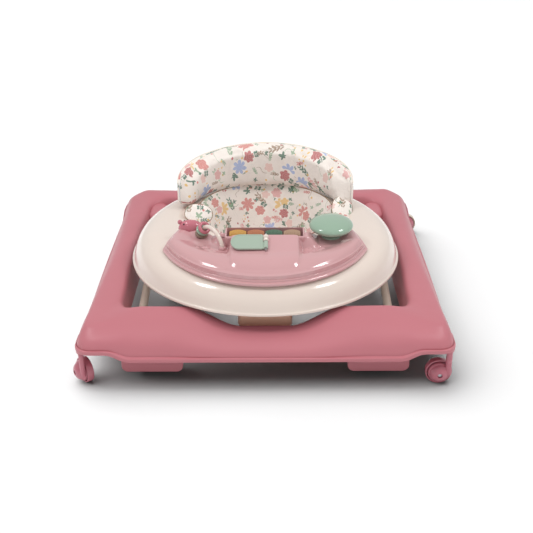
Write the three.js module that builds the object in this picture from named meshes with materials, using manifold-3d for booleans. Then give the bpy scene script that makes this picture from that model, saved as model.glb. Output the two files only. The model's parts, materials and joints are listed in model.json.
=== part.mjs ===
// Baby walker: a square base ring on four swivel casters, two crossed U-shaped leg tubes,
// a round tray with a toy tray on it, and a padded fabric seat that hangs in the tray.
// Millimetres, +Z up, front towards -Y, origin on the floor under the middle of the base.
import * as THREE from 'three';
import { mergeVertices } from 'three/addons/utils/BufferGeometryUtils.js';
import Module from 'manifold-3d';

const wasm = await Module();
wasm.setup();

// ---------- driving dimensions ----------
const GAP = 0.3; // between pieces that touch
const ORIGIN = { x: 5, y: 5 }; // the middle of the footprint, casters included, from the middle of the legs
const BASE = {
  halfWidth: 332, front: -336, rear: 346, sideBulge: 4, cornerRadius: 28, wall: 3,
  openHalfWidth: 258, openFront: -232, openRear: 276, openRadius: 46,
  flangeLow: 59, flangeRaised: 74, raisedFrom: 95, raisedTo: 55,
  crownFront: 118, crownSide: 113, crownRear: 119,
  scoopHalfWidth: 138, scoopFlat: 42, scoopDrop: 24, scoopCut: 30,
};
const STOP = {
  inner: 147, outer: 257, frontY: -275, frontTop: 102, rearY: 306, rearTop: 97, depth: 45,
  bottom: 15, wall: 3, radius: 12, pad: 3,
};
const SOCKET_BOTTOM = BASE.flangeRaised - 2;
const CASTER = {
  x: 322, frontY: -318, rearY: 325, trail: 15, radius: 23.5, disc: 19.5, dome: 11.5, offset: 5.5,
  stem: 4, socket: 9, screw: 2,
};
// Where each caster points: 0 trails straight back, and positive turns it to the left.
const CASTERS = [
  ['front_left', -CASTER.x, CASTER.frontY, 36],
  ['front_right', CASTER.x, CASTER.frontY, 90],
  ['rear_left', -CASTER.x, CASTER.rearY, -115],
  ['rear_right', CASTER.x, CASTER.rearY, -90],
];
const TUBE = { radius: 8, bore: 6.8 };
const PIN = { radius: 3.5, clearance: 0.3 };
const FOLD = { rearPivotY: 215, frontSlideY: -218, pivotZ: 52, upper: 190, rise: 58, travel: 56 };
const LEG = { innerX: 212, outerX: 235, innerBend: 120, outerBend: 150, overrun: 12 };
const TRAY = {
  centerY: -27, rearStretch: 1.05, bottom: 124, top: 182, wall: 3,
  slopeFromY: -60, slope: 0.0583, holeY: 30, holeRadius: 150, stations: 36,
};
const SEAT = {
  ringOuter: 149.5, ringInner: 141.5, flangeRadius: 157, flangeTop: 186, bucketRadius: 140.8,
  bucketBottom: 38, bottomRadius: 72, cloth: 4, legRadius: 44, legZ: 96, legAngle: 40,
  backHalfWidth: 180, backDepth: 150, backThickness: 24, backLow: 226, backHigh: 289, stations: 20,
};
// The toy tray's own heights stand on the sloping top of the round tray.
const TOY = {
  radius: 210, rearRadius: 161, flange: 5, step: 9, plateau: 16, blockHalfWidth: 62, housingHalfWidth: 75,
  recessHalfWidth: 69, recessFront: -92, recessRear: -60, recessFloor: 11.5, seatRingClear: 9,
};
const ROLLER = { v: -76, height: 28, radius: 15, width: 32, pitch: 33.4, axle: 2.5 };
const ARCH = { x: -99, v: -78, radius: 33, rod: 3.4, heading: -50.5, ringMajor: 9, ringMinor: 3.3 };
const MUSHROOM = { x: 124, v: -52, radius: 41, height: 22, middle: 38 };
const PAGE = { x: 2, v: -117, height: 37.6, tilt: 12.3, length: 60, halfWidth: 20, thickness: 4 };
const LEVER = { halfWidth: 49, front: -248, rear: -224, bottom: 88, top: 104 };

// ---------- colours ----------
function paint(color, roughness, metalness = 0) {
  return new THREE.MeshStandardMaterial({ color, roughness, metalness });
}

const PINK = paint(0xc47f88, 0.55);
const PINK_TRIM = paint(0xc06f7c, 0.4);
const BLUSH = paint(0xdba3a6, 0.22);
const CREAM = paint(0xe9dccf, 0.2);
const CREAM_TUBE = paint(0xe6d8c8, 0.35, 0.1);
const TAN = paint(0xc99a7c, 0.45);
const GREEN = paint(0x8fb59b, 0.3);
const ROSE = paint(0xc8606f, 0.35);
const TAUPE = paint(0x9c8475, 0.4);
const OCHRE = paint(0xc79a4c, 0.6);
const TERRACOTTA = paint(0xb5785a, 0.6);
const FOREST = paint(0x55755f, 0.6);
const FABRIC = paint(0xe8dccd, 0.9);
const STEEL = paint(0xb9bcc0, 0.3, 1);
const RUBBER = paint(0x4a4546, 0.9);

// ---------- geometry helpers ----------
const rad = THREE.MathUtils.degToRad;

/** A closed manifold-3d solid from a three.js geometry. */
function solid(geometry) {
  const bare = geometry.clone();
  bare.deleteAttribute('normal');
  bare.deleteAttribute('uv');
  const merged = mergeVertices(bare, 1e-4);
  return new wasm.Manifold(new wasm.Mesh({
    numProp: 3,
    vertProperties: new Float32Array(merged.attributes.position.array),
    triVerts: new Uint32Array(merged.index.array),
  }));
}

/** The three.js geometry of a manifold-3d solid, with faces that are nearly flat merged. */
function geometryOf(body, tolerance = 0.1) {
  const { vertProperties, triVerts } = body.simplify(tolerance).getMesh();
  const geometry = new THREE.BufferGeometry();
  geometry.setAttribute('position', new THREE.BufferAttribute(new Float32Array(vertProperties), 3));
  geometry.setIndex(new THREE.BufferAttribute(new Uint32Array(triVerts), 1));
  geometry.computeVertexNormals();
  return geometry;
}

const join = (...parts) => geometryOf(parts.map(solid).reduce((a, b) => a.add(b)));
const cut = (part, ...tools) => geometryOf(tools.map(solid).reduce((a, b) => a.subtract(b), solid(part)));

/** A surface through rings of points; the rings close on each other, or end in flat fans. */
function loft(rings, closed) {
  const n = rings[0].length;
  const points = rings.flat();
  const index = [];
  const bands = closed ? rings.length : rings.length - 1;
  for (let i = 0; i < bands; i++) {
    const next = (i + 1) % rings.length;
    for (let j = 0; j < n; j++) {
      const k = (j + 1) % n;
      index.push(i * n + j, next * n + j, next * n + k, i * n + j, next * n + k, i * n + k);
    }
  }
  if (!closed) {
    for (const [ring, flip] of [[0, false], [rings.length - 1, true]]) {
      const middle = rings[ring].reduce((s, p) => s.add(p), new THREE.Vector3()).divideScalar(n);
      points.push(middle);
      for (let j = 0; j < n; j++) {
        const [a, b] = [ring * n + j, ring * n + (j + 1) % n];
        index.push(points.length - 1, ...(flip ? [b, a] : [a, b]));
      }
    }
  }
  const geometry = new THREE.BufferGeometry().setFromPoints(points);
  geometry.setIndex(index);
  return outward(geometry);
}

/** Turns the faces round if they point into the body. */
function outward(geometry) {
  const p = geometry.attributes.position;
  const index = geometry.index.array;
  const [a, b, c] = [new THREE.Vector3(), new THREE.Vector3(), new THREE.Vector3()];
  let volume = 0;
  for (let i = 0; i < index.length; i += 3) {
    a.fromBufferAttribute(p, index[i]);
    b.fromBufferAttribute(p, index[i + 1]);
    c.fromBufferAttribute(p, index[i + 2]);
    volume += a.dot(b.cross(c));
  }
  if (volume < 0) {
    for (let i = 0; i < index.length; i += 3) {
      [index[i + 1], index[i + 2]] = [index[i + 2], index[i + 1]];
    }
  }
  geometry.computeVertexNormals();
  return geometry;
}

/** A turned piece: profile points are [radius, height] about Z and close on themselves or on the axis. */
function turned(profile, segments = 32) {
  const onAxis = profile[0][0] === 0;
  const points = profile.map(([r, z]) => new THREE.Vector2(r, z));
  if (!onAxis) points.push(points[0].clone());
  return outward(indexed(new THREE.LatheGeometry(points, segments).rotateX(Math.PI / 2)));
}

function indexed(geometry) {
  geometry.deleteAttribute('normal');
  geometry.deleteAttribute('uv');
  return mergeVertices(geometry, 1e-4);
}

const box = (x0, x1, y0, y1, z0, z1) => new THREE.BoxGeometry(x1 - x0, y1 - y0, z1 - z0)
  .translate((x0 + x1) / 2, (y0 + y1) / 2, (z0 + z1) / 2);

/** A cylinder from its middle, along 'x', 'y' or 'z'. */
function rod(axis, x, y, z, radius, length, segments = 16) {
  const geometry = new THREE.CylinderGeometry(radius, radius, length, segments);
  if (axis === 'x') geometry.rotateZ(Math.PI / 2);
  if (axis === 'z') geometry.rotateX(Math.PI / 2);
  return geometry.translate(x, y, z);
}

/** A plan outline pushed up from z0 to z1, with an optional rounded edge all round. */
function plate(points, z0, z1, bevel = 0, bevelHeight = bevel) {
  const shape = new THREE.Shape(points);
  const depth = z1 - z0 - 2 * bevelHeight;
  return new THREE.ExtrudeGeometry(shape, {
    depth: bevel ? depth : z1 - z0, bevelEnabled: bevel > 0, bevelSize: bevel, bevelOffset: -bevel,
    bevelThickness: bevelHeight, bevelSegments: 2, steps: 1, curveSegments: 6,
  }).translate(0, 0, z0 + (bevel ? bevelHeight : 0));
}

/** A body through level outlines [points, height] with equal point counts, closed by flat lids. */
function stack(...levels) {
  const n = levels[0][0].length;
  const points = levels.flatMap(([outline, z]) => outline.map((p) => new THREE.Vector3(p.x, p.y, z)));
  const index = [];
  for (let i = 0; i + 1 < levels.length; i++) {
    for (let j = 0; j < n; j++) {
      const [a, b] = [i * n + j, i * n + (j + 1) % n];
      index.push(a, b, b + n, a, b + n, a + n);
    }
  }
  const last = levels.length - 1;
  for (const [a, b, c] of THREE.ShapeUtils.triangulateShape(levels[0][0], [])) index.push(a, c, b);
  for (const face of THREE.ShapeUtils.triangulateShape(levels[last][0], [])) {
    index.push(...face.map((k) => k + last * n));
  }
  const geometry = new THREE.BufferGeometry().setFromPoints(points);
  geometry.setIndex(index);
  return outward(geometry);
}

/** A rounded rectangle's corner points. */
function roundedRectangle(x0, x1, y0, y1, r, segments = 4) {
  const corners = [[x1 - r, y1 - r, 0], [x0 + r, y1 - r, 90], [x0 + r, y0 + r, 180], [x1 - r, y0 + r, 270]];
  return corners.flatMap(([x, y, start]) => Array.from({ length: segments + 1 }, (_, i) => {
    const a = rad(start + 90 * i / segments);
    return new THREE.Vector2(x + r * Math.cos(a), y + r * Math.sin(a));
  }));
}

const smooth = (t) => THREE.MathUtils.smoothstep(t, 0, 1);
const mix = THREE.MathUtils.lerp;

const walker = new THREE.Group();
walker.name = 'baby_walker';

function add(name, geometry, material, parent = walker) {
  const mesh = new THREE.Mesh(geometry, material);
  mesh.name = name;
  parent.add(mesh);
  return mesh;
}

// ---------- base ring ----------
// Heights and distances across the ring, as shares of its crown height and width.
const FRONT_PROFILE = [[0, 0], [0, 0.13], [0.05, 0.26], [0.16, 0.52], [0.35, 0.74], [0.6, 0.9], [0.8, 0.98],
  [0.92, 0.98], [0.98, 0.75], [1, 0.04]];
const SIDE_PROFILE = [[0, 0], [0, 0.14], [0.07, 0.26], [0.18, 0.57], [0.33, 0.84], [0.5, 0.97], [0.66, 1],
  [0.8, 0.92], [0.92, 0.55], [1, 0.04]];

/** The places round the ring: outer edge, inner edge, and how much each is front, side or rear. */
function baseStations() {
  const b = BASE;
  const stations = [];
  const outerX = b.halfWidth - b.cornerRadius;
  const [outerFront, outerRear] = [b.front + b.cornerRadius, b.rear - b.cornerRadius];
  const innerX = b.openHalfWidth - b.openRadius;
  const push = (ox, oy, ix, iy, front, rear) => stations.push({ ox, oy, ix, iy, front, rear });
  const straight = (from, to, steps, front, rear) => {
    for (let i = 0; i < steps; i++) {
      const v = from.map((a, k) => mix(a, to[k], i / steps));
      push(...v, front, rear);
    }
  };
  const corner = (sx, sy, start, steps = 4) => {
    const atFront = sy < 0;
    const cy = atFront ? outerFront : outerRear;
    const iy = atFront ? b.openFront + b.openRadius : b.openRear - b.openRadius;
    for (let i = 0; i < steps; i++) {
      const a = rad(start + 90 * i / steps);
      const alongSide = Math.abs(Math.cos(a));
      push(
        sx * outerX + b.cornerRadius * Math.cos(a), cy + b.cornerRadius * Math.sin(a),
        sx * innerX + b.openRadius * Math.cos(a), iy + b.openRadius * Math.sin(a),
        sy < 0 ? smooth(1 - alongSide) : 0, sy > 0 ? smooth(1 - alongSide) : 0,
      );
    }
  };
  const [front, rear] = [b.openFront, b.openRear];
  const [sideFront, sideRear] = [front + b.openRadius, rear - b.openRadius];
  straight([-outerX, b.front, -innerX, front], [outerX, b.front, innerX, front], 16, 1, 0);
  corner(1, -1, 270);
  straight([b.halfWidth, outerFront, b.openHalfWidth, sideFront],
    [b.halfWidth, outerRear, b.openHalfWidth, sideRear], 6, 0, 0);
  corner(1, 1, 0);
  straight([outerX, b.rear, innerX, rear], [-outerX, b.rear, -innerX, rear], 6, 0, 1);
  corner(-1, 1, 90);
  straight([-b.halfWidth, outerRear, -b.openHalfWidth, sideRear],
    [-b.halfWidth, outerFront, -b.openHalfWidth, sideFront], 6, 0, 0);
  corner(-1, -1, 180);
  return stations;
}

/** One cross-section's outer face, from the flange up over the crown and down the inner wall. */
function baseOuterFace(s) {
  const b = BASE;
  const toCorner = Math.hypot(b.halfWidth - Math.abs(s.ox), Math.min(s.oy - b.front, b.rear - s.oy));
  const raised = smooth((b.raisedFrom - toCorner) / (b.raisedFrom - b.raisedTo));
  const scoop = s.front * smooth((b.scoopHalfWidth - Math.abs(s.ix)) / (b.scoopHalfWidth - b.scoopFlat));
  const alongSide = (s.oy - b.front) / (b.rear - b.front);
  const bulge = (1 - s.front) * (1 - s.rear) * b.sideBulge * Math.sin(Math.PI * alongSide);
  const outer = new THREE.Vector2(s.ox + Math.sign(s.ox) * bulge, s.oy);
  const inner = new THREE.Vector2(s.ix, s.iy - b.scoopCut * scoop);
  const crown = b.crownSide + s.front * (b.crownFront - b.crownSide) + s.rear * (b.crownRear - b.crownSide)
    - b.scoopDrop * scoop;
  const flange = mix(b.flangeLow, b.flangeRaised, raised);
  return FRONT_PROFILE.map(([frontAcross, frontUp], i) => {
    const [sideAcross, sideUp] = SIDE_PROFILE[i];
    const across = mix(sideAcross, frontAcross, s.front);
    const up = mix(sideUp, frontUp, s.front);
    const foot = mix(flange, b.flangeLow, smooth(across * 2));
    const p = outer.clone().lerp(inner, across);
    return new THREE.Vector3(p.x, p.y, foot + up * (crown - foot));
  });
}

/** The same face moved inwards by the wall thickness. */
function innerFace(points, wall) {
  return points.map((p, i) => {
    const before = points[Math.max(0, i - 1)];
    const after = points[Math.min(points.length - 1, i + 1)];
    const along = after.clone().sub(before).normalize();
    const flat = points[points.length - 1].clone().sub(points[0]).setZ(0).normalize();
    const across = new THREE.Vector2(along.x * flat.x + along.y * flat.y, along.z).normalize();
    const isEnd = i === 0 || i === points.length - 1;
    const drop = isEnd ? 0 : across.x * wall;
    return new THREE.Vector3(p.x + flat.x * across.y * wall, p.y + flat.y * across.y * wall, p.z - drop);
  });
}

function makeBase() {
  const faces = baseStations().map(baseOuterFace);
  const shell = loft(faces.map((f) => [...f, ...innerFace(f, BASE.wall).reverse()]), true);
  const filled = loft(faces.map((f) => {
    const under = [f[f.length - 1], f[0]].map((p) => p.clone().setZ(SOCKET_BOTTOM - 10));
    return [...f, ...under];
  }), true);
  let base = solid(shell);
  for (const side of [-1, 1]) {
    base = base.add(solid(stopBlock(side, STOP.frontY, STOP.frontTop)));
    base = base.add(solid(stopBlock(side, STOP.rearY, STOP.rearTop)));
    for (const y of [CASTER.frontY, CASTER.rearY]) {
      const socket = rod('z', side * CASTER.x, y, SOCKET_BOTTOM + 22, CASTER.socket, 44, 12);
      base = base.add(solid(socket).intersect(solid(filled)));
    }
    const boss = plate(mirrored(roundedRectangle(226, 268, 204, 283, 14), side), 44, 104, 9);
    base = base.add(solid(boss));
    const pinHole = rod('x', side * 232, FOLD.rearPivotY, FOLD.pivotZ, PIN.radius + PIN.clearance, 24);
    base = base.subtract(solid(pinHole));
    for (const y of [CASTER.frontY, CASTER.rearY]) {
      const stemHole = rod('z', side * CASTER.x, y, BASE.flangeRaised + 8, CASTER.stem + PIN.clearance, 26);
      base = base.subtract(solid(stemHole));
    }
  }
  return geometryOf(base, 0.5);
}

/** A foot that meets the floor when a caster drops over an edge: open behind, its lower corners rounded. */
function stopBlock(side, y, top) {
  const [x0, x1] = [side * STOP.inner, side * STOP.outer].sort((a, b) => a - b);
  const outline = roundedRectangle(x0, x1, STOP.bottom, 160, STOP.radius, 3);
  const shape = new THREE.Shape(outline);
  const block = new THREE.ExtrudeGeometry(shape, { depth: STOP.depth, bevelEnabled: false })
    .rotateX(Math.PI / 2).translate(0, y + STOP.depth / 2, 0);
  const w = STOP.wall;
  const inward = -Math.sign(y);
  const pocket = box(x0 + w, x1 - w, y - STOP.depth / 2, y + STOP.depth / 2, STOP.bottom + w, 170)
    .translate(0, inward * w, 0);
  return cut(block, pocket, box(x0 - w, x1 + w, y - STOP.depth, y + STOP.depth, top, 170));
}

/** Plan points mirrored to the left side when side is -1, still counter-clockwise. */
function mirrored(points, side) {
  return side > 0 ? points : points.map((p) => new THREE.Vector2(-p.x, p.y)).reverse();
}

const SIDES = [[-1, 'left'], [1, 'right']];
const ENDS = [[STOP.frontY, 'front'], [STOP.rearY, 'rear']];

add('base_shell', makeBase(), PINK);
for (const [side, sideName] of SIDES) {
  for (const [y, endName] of ENDS) {
    const middle = side * (STOP.inner + STOP.outer) / 2;
    const half = (STOP.outer - STOP.inner) / 2 - STOP.radius;
    const padTop = STOP.bottom - GAP;
    const pad = box(middle - half, middle + half, y - 16, y + 16, padTop - STOP.pad, padTop);
    add(`stop_pad_${endName}_${sideName}`, pad, RUBBER);
  }
}

// ---------- casters ----------
/** Turns a piece built along +Z so that its axis lies along -X, the side where the caster's disc is. */
const alongAxle = (geometry) => geometry.rotateY(-Math.PI / 2);

/** A one-sided fork: swivel stem, arm and domed disc in one moulding. The axle is at its origin. */
function casterFork() {
  const c = CASTER;
  const top = SOCKET_BOTTOM - c.radius - GAP;
  const disc = alongAxle(turned([
    [0, -2], [c.disc, -2], [c.disc, 2.5], [c.disc - 2, 5.5], [12, c.dome - 2.5], [6, c.dome - 0.4],
    [0, c.dome]], 16));
  const hub = rod('x', 3, 0, 0, 4.5, 3.4, 8);
  const arm = new THREE.CylinderGeometry(5.5, 5.5, top, 10).scale(0.75, 1, 1).rotateX(Math.PI / 2)
    .translate(-c.offset, -c.trail, top / 2);
  const web = box(-c.offset - 3, -c.offset + 4, -c.trail, 0, -6, 12);
  const stem = rod('z', -c.offset, -c.trail, top + 5, c.stem, 22, 10);
  const body = join(disc, hub, arm, web, stem);
  return cut(body, rod('x', 0, 0, 0, c.screw + GAP, 60, 8), rod('x', -c.dome + GAP, 0, 0, 4.2, 10, 10));
}

/** A cup-shaped wheel, open towards the disc. */
function casterWheel() {
  const r = CASTER.radius;
  return alongAxle(turned([
    [2.3, -13], [r - 3, -13], [r, -10], [r, 0], [r - 2.6, 0], [r - 3, -8], [8, -10], [6, -5],
    [2.3, -5]], 20));
}

const casterScrew = () => join(
  rod('x', -CASTER.dome + 4, 0, 0, 3.6, 2, 10), rod('x', 1.5, 0, 0, CASTER.screw, 20, 8));

/** The front casters are right-handed and the rear ones are their mirror images. */
const handed = (geometry, isRear) => (isRear ? outward(indexed(geometry.scale(-1, 1, 1))) : geometry);

for (const [name, x, y, heading] of CASTERS) {
  const isRear = y > 0;
  const swivel = new THREE.Group();
  swivel.position.set(x, y, CASTER.radius);
  swivel.rotation.z = rad(heading);
  walker.add(swivel);
  const axle = new THREE.Group();
  axle.position.set(isRear ? -CASTER.offset : CASTER.offset, CASTER.trail, 0);
  swivel.add(axle);
  add(`caster_fork_${name}`, handed(casterFork(), isRear), PINK_TRIM, axle);
  add(`caster_wheel_${name}`, handed(casterWheel(), isRear), isRear ? CREAM : PINK_TRIM, axle);
  add(`caster_screw_${name}`, handed(casterScrew(), isRear), STEEL, axle);
}

// ---------- crossed legs ----------
const crossY = (FOLD.rearPivotY + FOLD.frontSlideY) / 2;
const lower = FOLD.rearPivotY - crossY;
const legSlope = FOLD.rise / (lower + FOLD.upper);
const crossZ = FOLD.pivotZ + lower * legSlope;
const innerBarY = crossY - FOLD.upper;
const outerBarY = crossY + FOLD.upper;
const barZ = FOLD.pivotZ + FOLD.rise;

/** A quarter bend of a tube in the leg's tilted plane. */
class Bend extends THREE.Curve {
  constructor(point, fromDegrees, toDegrees) {
    super();
    Object.assign(this, { point, fromDegrees, toDegrees });
  }

  getPoint(t) {
    const a = rad(mix(this.fromDegrees, this.toDegrees, t));
    return this.point(Math.cos(a), Math.sin(a));
  }
}

/** A U-shaped tube: two arms, two bends and a crossbar. towards is +1 if the crossbar is at the rear. */
function legTube(halfWidth, bend, openY, barY, towards, holes) {
  const at = (x, y) => new THREE.Vector3(x, y, crossZ + towards * (y - crossY) * legSlope);
  const bendY = barY - towards * bend;
  const middle = halfWidth - bend;
  const path = new THREE.CurvePath();
  path.add(new THREE.LineCurve3(at(-halfWidth, openY), at(-halfWidth, bendY)));
  path.add(new Bend((c, s) => at(-middle - bend * c, bendY + towards * bend * s), 0, 90));
  path.add(new THREE.LineCurve3(at(-middle, barY), at(middle, barY)));
  path.add(new Bend((c, s) => at(middle + bend * c, bendY + towards * bend * s), 90, 0));
  path.add(new THREE.LineCurve3(at(halfWidth, bendY), at(halfWidth, openY)));
  const section = new THREE.Shape().absarc(0, 0, TUBE.radius, 0, 2 * Math.PI);
  section.holes.push(new THREE.Path().absarc(0, 0, TUBE.bore, 0, 2 * Math.PI, true));
  const tube = new THREE.ExtrudeGeometry(section, { steps: 24, extrudePath: path, curveSegments: 4 });
  return cut(tube, ...holes);
}

const bothSides = (make) => [make(-1), make(1)];
const boreRadius = PIN.radius + PIN.clearance;
const crossBores = (x) => bothSides((side) => rod('x', side * x, crossY, crossZ, boreRadius, 24, 8));

add('leg_frame_inner', legTube(LEG.innerX, LEG.innerBend, FOLD.rearPivotY + LEG.overrun, innerBarY, -1, [
  ...bothSides((side) => rod('x', side * LEG.innerX, FOLD.rearPivotY, FOLD.pivotZ, boreRadius, 24, 8)),
  ...crossBores(LEG.innerX)]), CREAM_TUBE);
add('leg_frame_outer', legTube(LEG.outerX, LEG.outerBend, FOLD.frontSlideY - LEG.overrun, outerBarY, 1, [
  ...bothSides((side) => rod('x', side * LEG.outerX, FOLD.frontSlideY, FOLD.pivotZ, boreRadius, 24, 8)),
  ...crossBores(LEG.outerX)]), CREAM_TUBE);

/** A plastic plug in a tube's open end, with a flat head over its edge. */
function endPlug(x, y, towards) {
  const end = new THREE.Group();
  end.position.set(x, y, crossZ + towards * (y - crossY) * legSlope);
  end.rotation.x = towards * Math.atan(legSlope);
  walker.add(end);
  const outwards = Math.sign(y);
  const head = rod('y', 0, outwards * (GAP + 1.5), 0, TUBE.radius, 3, 12);
  const core = rod('y', 0, outwards * -2.2, 0, TUBE.bore - 0.9, 5, 12);
  return [join(head, core), end];
}

for (const [side, sideName] of SIDES) {
  const [rearPlug, rearEnd] = endPlug(side * LEG.innerX, FOLD.rearPivotY + LEG.overrun, -1);
  add(`leg_plug_inner_${sideName}`, rearPlug, PINK_TRIM, rearEnd);
  const [frontPlug, frontEnd] = endPlug(side * LEG.outerX, FOLD.frontSlideY - LEG.overrun, 1);
  add(`leg_plug_outer_${sideName}`, frontPlug, PINK_TRIM, frontEnd);

  const pivotMiddle = side * (LEG.innerX + 10);
  const pivotPin = rod('x', pivotMiddle, FOLD.rearPivotY, FOLD.pivotZ, PIN.radius, 38, 12);
  add(`rear_pivot_pin_${sideName}`, pivotPin, STEEL);
  const crossMiddle = side * (LEG.innerX + LEG.outerX) / 2;
  add(`cross_pin_${sideName}`, rod('x', crossMiddle, crossY, crossZ, PIN.radius, 43, 12), STEEL);
  const slideMiddle = side * (LEG.outerX + 5);
  const slidePin = rod('x', slideMiddle, FOLD.frontSlideY, FOLD.pivotZ, PIN.radius, 29, 12);
  add(`front_slide_pin_${sideName}`, slidePin, STEEL);

  const [x0, x1] = [side * 245, side * 257.5].sort((a, b) => a - b);
  const slot = PIN.radius + 2 * PIN.clearance;
  const runner = cut(
    box(x0, x1, FOLD.frontSlideY - 12, FOLD.frontSlideY + FOLD.travel + 12, 38, BASE.flangeLow + 1),
    box(x0 - 5, x1 + 5, FOLD.frontSlideY - slot, FOLD.frontSlideY + FOLD.travel + slot,
      FOLD.pivotZ - slot, FOLD.pivotZ + slot));
  add(`front_runner_${sideName}`, runner, PINK);
}

// ---------- round tray ----------
const trayTop = (y) => TRAY.top - TRAY.slope * Math.max(0, TRAY.slopeFromY - y);
const TRAY_OUTSIDE = [[264, 124], [264, 128], [260.5, 129.5], [258.5, 137], [255.5, 148], [250, 160],
  [242, 170.5], [231, 178], [215, 182]];
const TRAY_INSIDE = [[211, 179], [229, 175], [239, 168], [249, 154], [256, 136], [259, 124]];

function makeTray() {
  const settle = (p) => {
    const share = (trayTop(p.y) - TRAY.bottom) / (TRAY.top - TRAY.bottom);
    return p.setZ(TRAY.bottom + (p.z - TRAY.bottom) * share);
  };
  const rings = Array.from({ length: TRAY.stations }, (_, i) => {
    const a = 2 * Math.PI * i / TRAY.stations;
    const [c, s] = [Math.cos(a), Math.sin(a)];
    const stretch = s > 0 ? TRAY.rearStretch : 1;
    const rim = ([r, z]) => new THREE.Vector3(r * c, TRAY.centerY + r * s * stretch, z);
    const hole = (r, z) => new THREE.Vector3(r * c, TRAY.holeY + r * s, z);
    return [
      ...TRAY_OUTSIDE.map(rim),
      hole(TRAY.holeRadius, TRAY.top),
      hole(TRAY.holeRadius, TRAY.top - 14),
      hole(TRAY.holeRadius + TRAY.wall, TRAY.top - 14),
      hole(TRAY.holeRadius + TRAY.wall, TRAY.top - TRAY.wall),
      ...TRAY_INSIDE.map(rim),
    ].map(settle);
  });
  return loft(rings, true);
}

add('tray_ring', makeTray(), CREAM);

for (const [side, sideName] of SIDES) {
  const under = TRAY.top - TRAY.wall - 2;
  const [c0, c1] = [side * 45, side * 65].sort((a, b) => a - b);
  const block = join(box(c0, c1, outerBarY - 12, outerBarY + 12, barZ - 13, barZ + 14),
    box(c0, c1, outerBarY - 12, outerBarY + 4, barZ, under));
  const clamp = cut(block, rod('x', side * 55, outerBarY, barZ, TUBE.radius + 2 * GAP, 40, 16));
  add(`rear_clamp_${sideName}`, clamp, PINK);

  const [r0, r1] = [side * 69, side * 75].sort((a, b) => a - b);
  const clear = TUBE.radius + 2 * GAP;
  const rackTop = trayTop(innerBarY - 16) - TRAY.wall - 1;
  const rack = cut(box(r0, r1, innerBarY - 16, innerBarY + FOLD.travel + 12, barZ - 15, rackTop),
    box(r0 - 5, r1 + 5, innerBarY - clear, innerBarY + FOLD.travel + 3, barZ - clear, barZ + clear));
  add(`height_rack_${sideName}`, rack, PINK);
}

const housingTop = trayTop(-236) - TRAY.wall - 1;
const housingBody = box(-40, 40, -236, -212, LEVER.top + GAP, housingTop);
const housing = cut(housingBody, box(-36, 36, -250, -216, LEVER.top, 150));
add('adjuster_housing', housing, PINK);
const leverOutline = roundedRectangle(-LEVER.halfWidth, LEVER.halfWidth, LEVER.front, LEVER.rear, 8);
const leverBody = plate(leverOutline, LEVER.bottom, LEVER.top, 3);
const leverHollow = box(-34, 34, LEVER.front + 9, LEVER.rear - 5, 80, LEVER.bottom + 10);
add('adjuster_lever', cut(leverBody, leverHollow), TAN);

// ---------- toy tray ----------
// v runs along the sloping tray top from y = slopeFromY; negative v is towards the front.
const toys = new THREE.Group();
toys.position.set(0, TRAY.slopeFromY, TRAY.top + GAP);
toys.rotation.x = Math.atan(TRAY.slope);
walker.add(toys);

/** The crescent outline: a round front, rounded rear corners and a hollow rear edge round the seat. */
function toyOutline(d) {
  const holeV = TRAY.holeY - TRAY.slopeFromY;
  const rearRadius = TOY.rearRadius + 0.15 * d;
  const rearX = 125 - 0.6 * d;
  const rearAngle = Math.asin(rearX / rearRadius);
  const nose = new THREE.SplineCurve([
    [rearX, holeV - rearRadius * Math.cos(rearAngle)],
    [140 - 0.8 * d, -2.5 - 0.5 * d], [158 - 0.95 * d, -1 - 0.8 * d], [172 - d, -11 - 0.8 * d],
    [182 - d, -32 - 0.3 * d], [190 - d, -56],
    [(TOY.radius - d) * Math.cos(rad(-22)), (TOY.radius - d) * Math.sin(rad(-22))],
  ].map(([x, y]) => new THREE.Vector2(x, y))).getPoints(9);
  const front = Array.from({ length: 9 }, (_, i) => {
    const a = rad(-22 - 68 * (i + 1) / 9);
    return new THREE.Vector2((TOY.radius - d) * Math.cos(a), (TOY.radius - d) * Math.sin(a));
  });
  const rear = Array.from({ length: 5 }, (_, i) => {
    const a = rearAngle * i / 5;
    return new THREE.Vector2(rearRadius * Math.sin(a), holeV - rearRadius * Math.cos(a));
  });
  const right = [...rear, ...nose, ...front];
  const left = right.slice(1, -1).map((p) => new THREE.Vector2(-p.x, p.y)).reverse();
  return [...right, ...left].reverse();
}

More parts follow.
